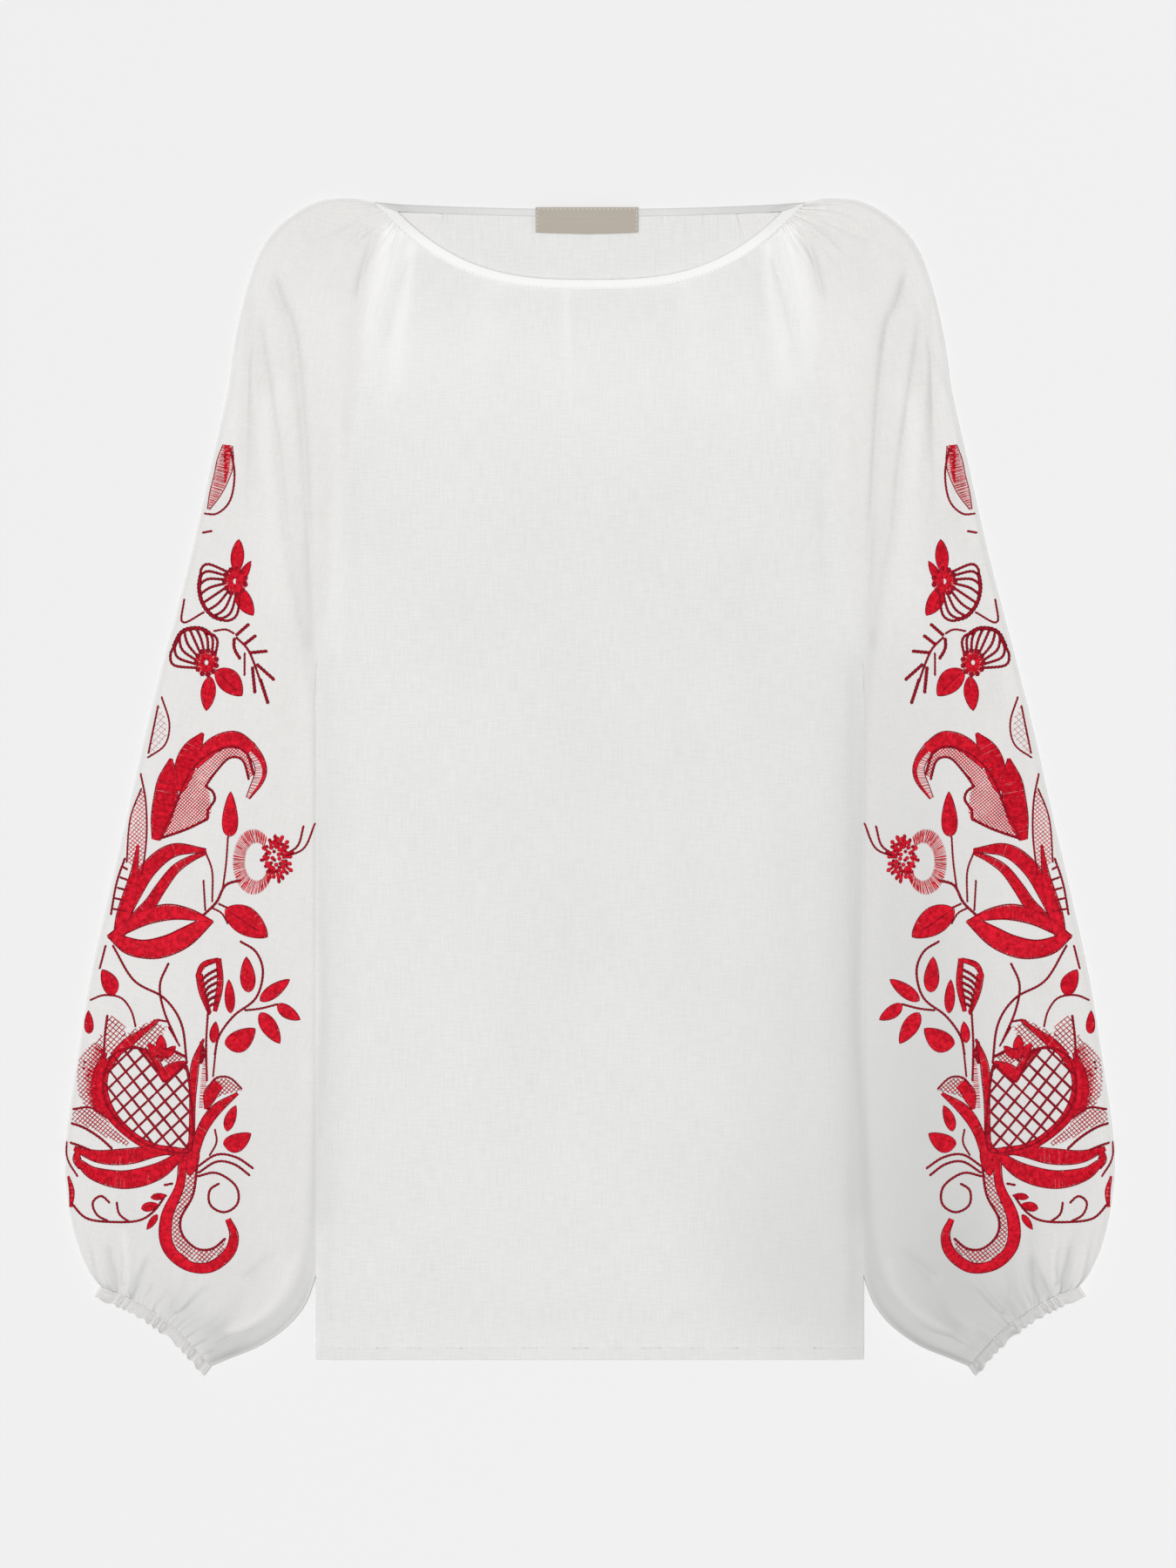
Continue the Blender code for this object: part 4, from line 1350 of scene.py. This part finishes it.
# %% [markdown]
# ## Buds and bells
# From the shoulder down: a slim bud, two ribbed bells on a stem, each with a knotted calyx
# and small leaves, and a sprig of bars. A bell's ribs leave its calyx, bow apart and end on
# the rim, like the flutes of a pumpkin.


# %% Bud, bells and sprig
def bell(middle, radius, rim, bows, ribs=9):
    """A fluted dome: ribs from round the calyx to points of the rim, bowed out at both ends."""
    middle, rim_line = np.array(middle, float), through(rim, CURVE_STEPS)
    rim_run = np.linspace(0, len(rim_line) - 1, ribs).round().astype(int)
    axis = (rim_line[0] + rim_line[-1]) / 2 - middle
    axis /= math.hypot(*axis)
    off = np.array([-axis[1], axis[0]])
    off *= np.sign((rim_line[0] - middle) @ off)
    for part, far in zip(np.linspace(1, -1, ribs), rim_line[rim_run]):
        near = middle + radius * (axis * math.cos(1.5 * part) + off * math.sin(1.5 * part))
        bow = off * (bows[0] if part > 0 else bows[1]) * part
        stem([near, mix(near, far, 0.5) + bow, mix(near, far, 0.85) + 0.6 * bow, far], 1.3)
    stem(rim, 2.3)


def calyx(middle, radius):
    """A ring of large knots that touch, loose red stitches within, and five small knots."""
    lay(
        drawn(circle(middle, radius, radius * 1.15, 0, 360, 13)),
        drawn(circle(middle, radius * 0.15, radius * 0.2, 0, 360, 13)),
        gap=0.75,
    )
    knots(circle(middle, radius * 0.85, radius, 15, 345, 11), 3.5)
    knots(circle(middle, radius * 0.3, radius * 0.4, 20, 308, 5), 1.7)


blade([(26.2, 51.2), (25.6, 54.5), (24, 58.5)], (0.6, 1.05, 0.95, 0.7, 0.15), gap=0.7, width=0.5)
band([(26.3, 51.2), (26.3, 53.2), (25.9, 55.5)], (0.3, 0.3, 0.1), (0.6, 0.6, 0.1), gap=0.6)
stem([(26.5, 51.5), (27, 54.5), (26.5, 57.5), (25, 59), (23.5, 59)], 0.9)
stem([(23.3, 61.2), (24.4, 61)], 1.0)
upper_rim = [(23.1, 66), (22.9, 67.5), (23.3, 69.3), (24.4, 70.7), (25.6, 71.2)]
bell((27.1, 66.8), 1.3, upper_rim, (1.3, 1.2))
leaf((27.2, 66), (27.5, 62), 1.6, fullest=0.5)
leaf((27.3, 67.3), (28.9, 64.5), 1.1)
leaf((27.3, 67.2), (29.2, 70.7), 1.9, lean=0.2, fullest=0.5)
calyx((27.1, 66.8), 1.45)
stem([(23.5, 70.3), (21, 71.5), (21.2, 68.8)], 0.9)
lower_rim = [(20, 74.3), (20.8, 72.7), (21.8, 72.2), (23.2, 72.2), (24.2, 72.8)]
bell((23.8, 76.1), 1.25, lower_rim, (1.6, 0.7))
calyx((23.8, 76.1), 1.4)
leaf((24.2, 77.7), (23.8, 81.6), 1.8, fullest=0.45)
leaf((24.9, 77), (27.9, 79.9), 2.7, lean=-0.15, fullest=0.45, vein=True)
stem([(24.6, 72.5), (26, 72.3), (27, 72.8)], 0.9)
for bar in (
    [(28.7, 71.7), (27.2, 73)],
    [(29.5, 73), (28.2, 74)],
    [(30.8, 74.8), (28.7, 75)],
    [(31.6, 78.1), (29.6, 76.3)],
    [(29.4, 79.6), (29.1, 76.6)],
    [(30.9, 80.8), (30, 78)],
    [(27, 73.3), (27, 74.5), (27.7, 75.7)],
):
    stem(bar, 1.7)
stem([(27.2, 73.2), (28.5, 74.5), (29.3, 76.2), (30, 78.2)], 1.1)
stem([(28.2, 75), (28.2, 77.6)], 0.9)
print("stitches so far:", len(pattern))

# %% [markdown]
# ## The scroll leaf
# The largest leaf of the upper group curls over like a hook. Three overlapping lobes of
# dense satin stitch make its outer side. Its inner side is a net with a scalloped edge.

# %% Scroll leaf and edge petals
scroll_vein = [(18.5, 96), (20, 93), (21.5, 89.5), (23.3, 87.2), (26, 85.8), (28.3, 86.3)]
scroll_vein += [(29.3, 89)]
scroll_inner = [(19.5, 96), (24, 94), (24.3, 91.5), (24, 90), (25.5, 87.8), (27.5, 87)]
scroll_inner += [(28.8, 89.3)]
net(drawn(scroll_vein), drawn(scroll_inner), 1.45, 0.6, RED)
blade([(18, 96.4), (19, 92), (19.7, 87.1)], (0.5, 1.2, 1.4, 1.2, 0.15))
blade([(20.7, 90.8), (21.6, 87.2), (23.4, 84.2)], (0.5, 1.1, 1.25, 1.0, 0.15))
blade([(22.5, 88), (24.5, 85.7), (27, 84.8), (29, 86)], (0.4, 0.9, 0.9, 0.75))
scroll_tip = [(28.7, 85.7), (29.8, 87.3), (30, 89), (28.6, 91.6)]
blade(scroll_tip, (0.75, 0.7, 0.65, 0.25), gap=1.1, width=0.5)
band(scroll_tip, (0.7, 0.66, 0.56, 0.2), (0.35, 0.0, -0.2, -0.05))
stem(scroll_vein, 1.4)
stem([(18.3, 96.3), (21.5, 95.2), (24, 94)], 1.3)
stem([(24, 94), (24, 93), (24.8, 91.8), (24.5, 90.8), (23.7, 90.3)], 1.3)
stem([(23.7, 90.3), (25, 88.5), (26.5, 87), (28, 87.3), (28.7, 89.5)], 1.2)
knots([(23.9, 90.2), (24.2, 90.6)], 2.0)
stem([(18.6, 80), (19.5, 83), (19, 85.5), (17, 87)], 0.8)
stem([(18.2, 81), (17.6, 84), (17.1, 86.5)], 0.8)
bract_near = [(18.3, 81), (17.6, 84), (17.1, 86.8)]
bract_far = [(19, 82), (19.2, 84.5), (17.5, 86.8)]
net(drawn(bract_near), drawn(bract_far), 2.8, 0.3)
edge_left = [(16.3, 90.5), (15, 94), (14.6, 99)]
net(drawn(edge_left), drawn([(16.6, 90.5), (16.9, 95), (16.4, 100)]), 1.9, 0.5, RED)
stem(edge_left, 0.7)
stem([(16.2, 88.8), (16.8, 92), (16.9, 96), (16.4, 100.5)], 0.85)
blade([(15.9, 97), (15.6, 99.4), (15.1, 102), (14.3, 105), (13.6, 108)], (0.1, 0.4, 0.75, 0.9, 0.6))
stem([(14.4, 98.5), (13.4, 101.5), (12.8, 105)], 1.0)
for rung in np.arange(99.5, 105, 1.2):
    stem([(14.5 - 0.25 * (rung - 98), rung), (14.7, rung + 0.3)], 1.0)

# %% [markdown]
# ## Striped petals and the lens leaf
# Two curved petals and one broad, lens-shaped leaf spring from one point at the outer
# fold. Each is worked in bands with bare cloth between them.

# %% Striped petals and lens leaf
blade(
    [(13.6, 107), (15.3, 103), (17.2, 99.7), (20, 97.6), (23.8, 97.6)],
    (0.5, 0.8, 0.95, 0.8, 0.2),
)
blade(
    [(14, 107), (16.9, 104.3), (18.5, 102), (20.2, 99.8), (22, 98.6), (23.8, 97.9)],
    (0.3, 0.8, 0.7, 0.6, 0.45, 0.15),
)
stem([(23.7, 97.7), (24.5, 100), (24.5, 103.5)], 0.8)
lens_top = drawn([(12.4, 107.4), (15.5, 105), (19, 103.8), (22, 104.3), (24.6, 105.7)])
slit_top = drawn([(14, 107.4), (17, 106.1), (20, 105.5), (22.7, 105.6)])
slit_low = drawn([(14, 107.4), (16.5, 107.9), (19, 107.4), (21, 106.5), (22.7, 105.7)])
lens_low = drawn(
    [(12.4, 107.5), (14.5, 109.4), (17.5, 110), (20, 109.5), (22.3, 108.2), (24.6, 105.8)]
)
lay(lens_top, slit_top)
lay(lens_low, slit_low, part=(0, 0.68))
lay(slit_low, lens_low, part=(0, 0.44))
lay(slit_low, lens_low, gap=0.8)
for line in (lens_top, slit_top, slit_low, lens_low):
    edging(line, 0.9)

# %% [markdown]
# ## Wreath and stems
# The wreath is a ring of spoke-like stitches, open where a tuft of knots fills it. Two
# tendrils reach from it toward the body, with a teardrop bud above and a leaf below.

# %% Wreath and stems
wreath_outer = drawn(circle((29.2, 98.9), 2.4, 3.8, -50, -330, 15))
wreath_inner = drawn(circle((29.6, 98.9), 1.3, 2.1, -50, -330, 15))
lay(wreath_outer, wreath_inner, gap=0.95, width=0.5)
lay(wreath_outer, wreath_inner, gap=1.4, width=0.5, part=(0, 0.6))
TUFT_KNOTS = 54
TUFT_HEART = np.array([31.6, 98.5])
seed = np.arange(TUFT_KNOTS)
tuft_turns, tuft_reach = 2.4 * seed, np.sqrt((seed + 0.5) / TUFT_KNOTS)
tuft_x = 31.9 + 1.8 * tuft_reach * np.cos(tuft_turns)
tuft_y = 98.5 + 2.6 * tuft_reach * np.sin(tuft_turns)
tuft = np.column_stack([tuft_x, tuft_y])
tuft += needle.uniform(-0.15, 0.15, tuft.shape)
knots(tuft[::2], 2.9, RED)
knots(tuft[1::2], 2.5)
for far in tuft[-20:]:
    stem([mix(TUFT_HEART, far, 0.5), mix(TUFT_HEART, far, 1.1)], 1.5, RED)
stem([(33, 98), (34.3, 97), (34.9, 94.8)], 1.0)
stem([(33, 98.3), (35, 97.3), (36.2, 94.5)], 0.9)
leaf((26.5, 96), (26.6, 90.9), 1.9, fullest=0.32)
stem([(26.3, 96), (26.1, 99), (25.7, 102)], 0.8)
stem([(27.8, 101), (26, 101.6), (25, 103.5), (23.5, 105)], 1.3)
stem([(25.2, 103.7), (26.3, 104.2)], 0.9)
stem([(24.5, 104.2), (25.6, 104.8), (26.3, 106)], 0.8)
stem([(23.5, 101), (23.7, 104.5)], 0.8)
leaf((26, 104.3), (30.8, 107.5), 3.3, lean=-0.1, fullest=0.45, vein=True)

# %% [markdown]
# ## Leafy branches
# Stems cross and part between the two groups. They carry a small striped bell and simple
# full leaves, each turned its own way.

# %% Leafy branches
stem([(13, 108.5), (15.5, 112.5), (19, 114.5), (21, 117.5), (21.6, 122)], 1.1)
stem([(19.5, 110.5), (18.5, 113), (19, 116), (20.5, 119.5)], 1.1)
stem([(12.2, 108.5), (11.5, 111.2)], 0.9)
leaf((13, 114.3), (11.8, 111.3), 2.0, lean=0.3)
stem([(10.4, 114.8), (12, 114.2), (14, 114.5), (15.2, 116), (15.7, 117.8)], 0.9)
leaf((10.3, 118.6), (10.2, 116), 1.1, fullest=0.35)
blade([(23, 111.8), (23.4, 114), (24.2, 116.2)], (0.4, 0.4, 0.3, 0.2))
blade([(25.2, 110), (25.4, 112.8), (24.8, 116)], (0.3, 0.35, 0.35, 0.2))
blade([(22.8, 112), (23.5, 110.7), (25.2, 110.1)], (0.2, 0.3, 0.3, 0.2))
for rib in np.arange(0, 4, 0.75):
    stem([(23.1 + 0.3 * rib, 112.6 + rib), (24, 111.8 + rib), (25.1, 111.2 + rib)], 1.5)
leaf((26.6, 116.2), (26.4, 112.4), 1.2)
leaf((28.7, 113.8), (28.4, 109.8), 1.8, fullest=0.38)
branch = [(27.7, 108), (29.5, 109.2), (30.3, 111.5), (29.5, 114.5), (27, 116.5)]
stem(branch + [(25.3, 118.8), (24.8, 121)], 1.1)
leaf((30, 114.8), (33.3, 112.4), 1.6)
leaf((32, 115.2), (34.5, 117), 1.5, lean=0.2)
leaf((30, 116.2), (32.2, 119.7), 1.9)
leaf((26, 119.8), (29.4, 118), 2.6, lean=0.35, fullest=0.4)
stem([(28.2, 115.9), (30, 115.7), (32, 115.2)], 1.0)
leaf((24.6, 119.6), (24.9, 117.2), 1.1)
stem([(24, 116.2), (23.8, 120), (23.9, 124)], 1.0)
stem([(25, 119.5), (24.6, 123.5)], 0.8)

# %% [markdown]
# ## The pomegranate
# The main motif of the lower group is a heart-shaped fruit, filled with a trellis of
# couched threads. Netted petals stand behind it, densest by the fruit.

# %% Pomegranate
fruit = [
    (12, 123.5), (13, 121.2), (15, 120.2), (17, 120.6), (18, 122.2), (19, 124), (20.5, 123),
    (21.4, 122), (22, 125), (22.3, 129), (22, 132), (19.5, 132), (16.5, 131), (14, 129),
    (12.5, 127), (12, 125), (12, 123.5),
]
petal_near = drawn([(12.3, 120.5), (11, 123), (11, 126), (12, 127.8)])
petal_far = drawn([(10.8, 119.5), (9.1, 121.5), (8.9, 125), (9.8, 127)])
net(petal_near, petal_far, 2.0)
lay(petal_near, petal_far, gap=0.8, width=0.5, part=(0, 0.5))
for near, far, gap in (
    ([(12.4, 116.5), (12.1, 119), (12, 121)], [(13, 116.5), (14.6, 118), (13.8, 120.5)], 2.5),
    ([(11.9, 118.3), (11.9, 121)], [(11.6, 118.5), (10.6, 120.5)], 2.5),
    (
        [(8.6, 127.3), (10.5, 127.2), (12.3, 128.5), (15, 131)],
        [(8, 128.6), (10, 129.3), (12, 130.4), (14.6, 131.5)],
        NET_GAP,
    ),
    ([(14.3, 118.7), (16.5, 117.5), (18, 116.8)], [(13.5, 120.5), (15.6, 119), (18, 117.2)], 2.3),
    ([(14.3, 120.5), (16, 118.9), (18.3, 117.3)], [(16, 120.3), (18, 120), (19.4, 117.8)], 2.3),
    ([(18.3, 121.5), (20, 122.3), (21, 121.8)], [(18.7, 120.3), (20, 120.5), (21.3, 121)], 1.8),
):
    net(drawn(near), drawn(far), gap)
blade([(12.2, 120.8), (11.4, 123), (11.2, 125.5), (12.1, 127.8)], (0.2, 0.6, 0.7, 0.3))
knots([(9.8, 121.9), (9.7, 122.6), (10.2, 123.4)], 2.0)
trellis(drawn(fruit), (51.0, -43.5), 7.2, 1.6, DARK)
stem(fruit, 1.5)
blade(
    [(13.8, 120.7), (12.1, 122.8), (11.8, 125.3), (12.9, 127.9), (15.2, 130.2)]
    + [(18, 131.7), (21.8, 132.2)],
    (0.35, 0.65, 0.72, 0.6, 0.5, 0.5, 0.45),
)
blade([(13, 121.2), (15, 119.5), (16.8, 118.2), (18.3, 117)], (0.4, 0.6, 0.35, 0.15))
blade([(16.6, 120.4), (18, 121.8), (19, 123.8)], (0.3, 0.5, 0.3))
blade([(18.5, 123.6), (19.6, 122.9), (21.4, 121.8)], (0.7, 0.8, 0.15))
leaf((18.7, 121.4), (18.6, 118.7), 1.3, fullest=0.5)
leaf((18.6, 121.4), (17.1, 119.7), 1.0, fullest=0.5)
leaf((18.9, 121.4), (20.3, 120), 1.0, fullest=0.5)
knots([(18.7, 121.6), (19.3, 121.3), (18.2, 121.1)], 2.2)
stem([(12.4, 116.5), (12.1, 119), (12, 121.5)], 1.2)
stem([(18.3, 117), (19.5, 117.2)], 1.0)
stem([(18.8, 120.3), (20, 120.5), (21.4, 121.2)], 1.4)
stem([(19.5, 117.8), (20.8, 120)], 0.8)
stem([(8.4, 127.3), (10.5, 127.1), (12.4, 128.3)], 1.1)
stem([(7.8, 128.8), (9.5, 129.3), (11.5, 130.5), (13, 131.8)], 1.3)
stem([(7.7, 131), (9, 131.4), (10.5, 132)], 1.2)

# %% [markdown]
# ## Crescents, spine and lower scroll
# Two thick crescents cradle the fruit. They meet a spine, which splits into slim petals
# above and runs down into a second hooked scroll, dense outside and netted inside.

# %% Crescents and scroll
upper_crescent = [(8.6, 131.8), (11.5, 132.7), (15, 132.6), (18, 132), (20.5, 131.9)]
lower_crescent = [(9.3, 133.5), (11, 134.7), (14.5, 135.3), (18.3, 134.3), (21.2, 132.2)]
blade(upper_crescent, (0.25, 0.75, 0.95, 0.75, 0.35))
blade(lower_crescent, (0.45, 0.95, 1.1, 0.95, 0.35))
blade([(9, 132.2), (8.9, 133), (9.4, 134)], (0.3, 0.5, 0.3))
leaf((22.3, 130.5), (21.9, 134.8), 2.0, fullest=0.5)
stem([(7.7, 131), (7.8, 133), (9, 135)], 0.9)
spine = [(22.2, 133.5), (22.2, 129), (22.3, 125), (22.6, 121.8), (23.5, 119.2)]
blade(spine, (0.6, 0.35, 0.35, 0.5, 0.1))
band([(23, 127), (23.3, 123), (23.7, 119.8)], (0.1, 0.1, 0), (0.5, 0.75, 0.3), gap=0.9, width=0.5)
blade([(23.2, 119.5), (23.4, 120.8), (23.2, 122)], (0.1, 0.3, 0.1), shade=DARK)
blade([(22.4, 133), (23.2, 129.9), (24.8, 127.4), (27.4, 125.4)], (0.4, 0.6, 0.65, 0.15))
blade([(23.8, 127.2), (24.4, 125.3), (25.3, 124.3)], (0.2, 0.8, 0.65))
hood = drawn([(25, 123.6), (26.5, 123.7), (27.9, 124.9)])
net(hood, drawn([(25, 125.9), (26.3, 125.5), (27.9, 125.1)]), 1.9)
stem([(24.1, 124.6), (25, 123.6), (26.5, 123.6), (27.9, 124.9)], 0.9)
scroll_spine = [(21.1, 132.8), (20.8, 136), (19.3, 139.5), (19.3, 142.8), (21.3, 145)]
scroll_spine += [(24, 145.4), (26.3, 143.8), (27, 141.7), (26.3, 139.8)]
scroll_half = (0.5, 0.5, 0.65, 0.75, 0.7, 0.6, 0.65, 0.6, 0.3)
hollow = [(22.8, 133.5), (22.3, 137), (20.9, 139.7), (21.1, 141.7), (22.7, 143.2)]
hollow += [(24.5, 143.2), (26, 142)]
net(beside(scroll_spine[:7], [-w for w in scroll_half[:7]]), drawn(hollow))
blade(scroll_spine, scroll_half)
stem(hollow, 1.2)

# %% [markdown]
# ## Sprig, tendrils and vine
# The last motifs are light: a two-leaved sprig, two long curved lines, a tendril wound
# into a ring, and a thin vine with curls that runs out toward the outer fold.

# %% Tendrils and vine
leaf((26.2, 129.7), (27.2, 126.8), 1.3, lean=-0.2)
leaf((25.8, 131.2), (28.9, 130), 2.2, lean=0.4, fullest=0.38)
stem([(24.8, 129.5), (25, 131), (24.2, 132.5)], 0.8)
stem([(22.8, 133.8), (25, 132.4), (27.2, 132.7), (29.2, 134)], 1.1)
stem([(22.9, 134.5), (25, 133.2), (27, 133.5), (28.8, 134.8)], 1.1)
tendril = [(22.8, 134.9), (25, 134.5), (27.2, 136), (27.4, 138), (25.9, 139), (24.3, 138.2)]
stem(tendril + [(24.2, 136.5), (25.3, 135.7)], 1.1)
blade([(7.9, 135), (8.3, 136.7), (8.2, 138.5)], (0.1, 0.3, 0.15))
stem([(8.2, 138), (10, 139.8), (13, 140.2), (16, 140), (17.8, 138.9), (19.2, 137)], 1.1)
stem([(12.7, 138), (11.7, 137.2), (10.7, 138), (11.2, 139.4), (12.5, 140.1)], 1.1)
stem([(13.5, 137.9), (13.8, 139.3), (15, 140.2)], 1.1)
leaf((16.4, 138.6), (18.3, 138.1), 1.1)
leaf((17.5, 137.3), (19.3, 137.1), 0.8)
leaf((18.2, 139.3), (17, 141), 0.8)
stem([(19, 135.9), (20, 135.7)], 1.1)
print("stitches of one sleeve's front:", len(pattern))

# %% [markdown]
# ## From the paper to the cloth
# Each stitch is dropped on the finished sleeve with rays from above, so it follows every
# fold. What the photo hides, the under layer, takes the same drawing with fewer, wider
# stitches, so the pattern runs on round the outer fold. A stitch is a lens of twelve
# triangles, flat on the cloth and crowned in the middle, enough for the light to catch.

# %% Laying the stitches
RISE = 0.4
SINK = 0.03
CAST = 40.0 * MM
STITCH_PARTS = (0.0, 0.22, 0.78, 1.0)
STITCH_POINTS = 8
UNDER_EVERY = 5
UNDER_WIDER = 2.6


def tree_of(piece):
    """A piece's faces, sorted so that a ray finds the one it meets."""
    mesh = piece.data
    return BVHTree.FromPolygons(
        [point.co for point in mesh.vertices], [face.vertices for face in mesh.polygons]
    )


def stitch_solids(stitches, tree, side, way):
    """Vertices and faces of the stitches, met by rays from above (1) or below (-1)."""
    points, faces = [], []
    for x0, y0, x1, y1, width in stitches:
        hits = []
        for part in STITCH_PARTS:
            x, y = mix(x0, x1, part) * MM * side, mix(y0, y1, part) * MM
            place, normal, _, _ = tree.ray_cast((x, y, way * CAST), (0, 0, -way))
            if place is None:
                break
            hits.append((np.array(place) / MM, np.array(normal) * np.sign(normal[2] * way)))
        if len(hits) < len(STITCH_PARTS):
            continue
        along = hits[3][0] - hits[0][0]
        tall = min(width, 1.2) * RISE * needle.uniform(0.8, 1.15)
        ring_points = [hits[0][0] - hits[0][1] * SINK]
        for place, normal in hits[1:3]:
            off = np.cross(normal, along)
            off *= width / 2 / max(np.linalg.norm(off), 1e-9)
            base = place - normal * SINK
            ring_points += [base + off, place + normal * tall, base - off]
        ring_points.append(hits[3][0] - hits[3][1] * SINK)
        n = len(points)
        points += ring_points
        for a in range(3):
            b = (a + 1) % 3
            faces.append((n, n + 1 + b, n + 1 + a))
            faces.append((n + 1 + a, n + 1 + b, n + 4 + b, n + 4 + a))
            faces.append((n + 7, n + 4 + a, n + 4 + b))
    return np.array(points), faces


def embroider(name, finish, stitches, tree, side, way=1):
    """One piece of many stitches on the cloth."""
    points, faces = stitch_solids(stitches, tree, side, way)
    add_mesh(name, finish, points, faces, tidy=False)
    print(name, "has", len(points) // STITCH_POINTS, "stitches")


all_stitches = np.array(pattern)
fills = all_stitches[all_stitches[:, 5] == RED][:, :5]
# the DARK stitches take the painted-shade copy of the red thread
lines = all_stitches[all_stitches[:, 5] == DARK][:, :5]
under = np.vstack([fills[::UNDER_EVERY] * [1, 1, 1, 1, UNDER_WIDER], lines])
for word, side in SIDES.items():
    cloth_tree = tree_of(sleeves[side])
    for part, finish, stitches, way in (
        ("fill", red_thread, fills, 1),
        ("line", red_thread_painted_shade, lines, 1),
        ("under", red_thread, under, -1),
    ):
        name = f"embroidery_{part}_{word}"
        embroider(name, finish, stitches, cloth_tree, side, way)

# %% [markdown]
# ## Sewing
# Lockstitch rows hold the hem, the neck strip, the label and the elastic casings. They are
# white on white, so they only show as fine dotted lines.

# %% Sewing stitches
SEWN_PITCH = 2.6
SEWN_WIDTH = 0.45
SEWN_REACH = (0.1, 0.84)
SEWN_INSET = 1.0


def sewn_row(line):
    """Stitches end to end along a line in millimetres, with a hole between two of them."""
    holes = at_parts(line, np.linspace(0, 1, round(length_of(line) / SEWN_PITCH) + 1))
    start, end = (mix(holes[:-1], holes[1:], part) for part in SEWN_REACH)
    return np.column_stack([start, end, np.full(len(start), SEWN_WIDTH)])


hem_ends = (BODY_HALF_WIDTH - SEWN_INSET) * np.array([-1.0, 1.0])
hem_line = np.column_stack([hem_ends, np.full(2, HEM_Y + HEM_DEPTH - SEWN_INSET)])
strip_x = np.linspace(-1, 1, 61) * (NECK_HALF - 3 * SEWN_INSET)
strip_line = np.column_stack([strip_x, front_neck_edge(strip_x) + 1.1 * SEWN_INSET])
label_sides = LABEL_MIDDLE + (LABEL_WIDTH / 2 - SEWN_INSET) * np.array([-1.0, -1.0, 1.0, 1.0])
label_low = LABEL_HEIGHT - SEWN_INSET
label_line = np.column_stack(
    [label_sides, LABEL_TOP - np.array([label_low, SEWN_INSET, SEWN_INSET, label_low])]
)
sewn = {
    "hem": (front_panel, +1, hem_line),
    "neck": (neck_strip, +1, strip_line),
    "label": (neck_label, +1, label_line),
}
for word, side in SIDES.items():
    sewn[f"cuff_{word}"] = (casings[side], side, rim_upper[1][4:-4])
for place, (piece, side, line) in sewn.items():
    name = f"stitches_{place}"
    embroider(name, sewing_thread, sewn_row(line), tree_of(piece), side)

# %% [markdown]
# ## Surface, light and sky
# One broad soft light hangs high over the chest, and a bright, even sky stands for the
# studio's white walls. Folds are shaded alike on both halves of the shirt, so the light is
# near its middle line. It fades a little toward the hem and the right. The photo's surface
# stays even all the same, so the table top is painted a little lighter there.

# %% Stage and light
FLOOR_SIZE = 3.0
FLOOR_Z = -0.2 * MM
LIGHT_PLACE = (-0.2, 0.1, 3.2)
LIGHT_SIZE = 1.5
LIGHT_WATTS = 87.5
SKY_STRENGTH = 0.288

floor_finish, floor_tree = new_finish("matt_pale_table", 0.95)
aims = {0: object_place(floor_tree), 1: LIGHT_PLACE}
reach = add_node(floor_tree, "ShaderNodeVectorMath", aims, operation="DISTANCE").outputs["Value"]
dress(floor_tree, blend(floor_tree, stretch(floor_tree, reach, 3.2, 3.3), "#E5E5E5", "#EEEEEE"))
floor_mesh = bpy.data.meshes.new("table_top")
floor_corners = [(-1, -1), (1, -1), (1, 1), (-1, 1)]
floor_mesh.from_pydata(
    [(x * FLOOR_SIZE / 2, y * FLOOR_SIZE / 2, FLOOR_Z) for x, y in floor_corners],
    [],
    [(0, 1, 2, 3)],
)
floor_mesh.materials.append(floor_finish)
table_top = put("table_top", floor_mesh)

sky = bpy.data.worlds.new("studio_sky")
sky.use_nodes = True
backdrop = sky.node_tree.nodes["Background"].inputs
backdrop["Color"].default_value = (1.0, 1.0, 1.0, 1.0)
backdrop["Strength"].default_value = SKY_STRENGTH
bpy.context.scene.world = sky

key_data = bpy.data.lights.new("key_light", "AREA")
key_data.shape = "DISK"
key_data.size = LIGHT_SIZE
key_data.energy = LIGHT_WATTS
key = put("key_light", key_data, LIGHT_PLACE)
key.rotation_euler = Vector(LIGHT_PLACE).to_track_quat("Z", "Y").to_euler()
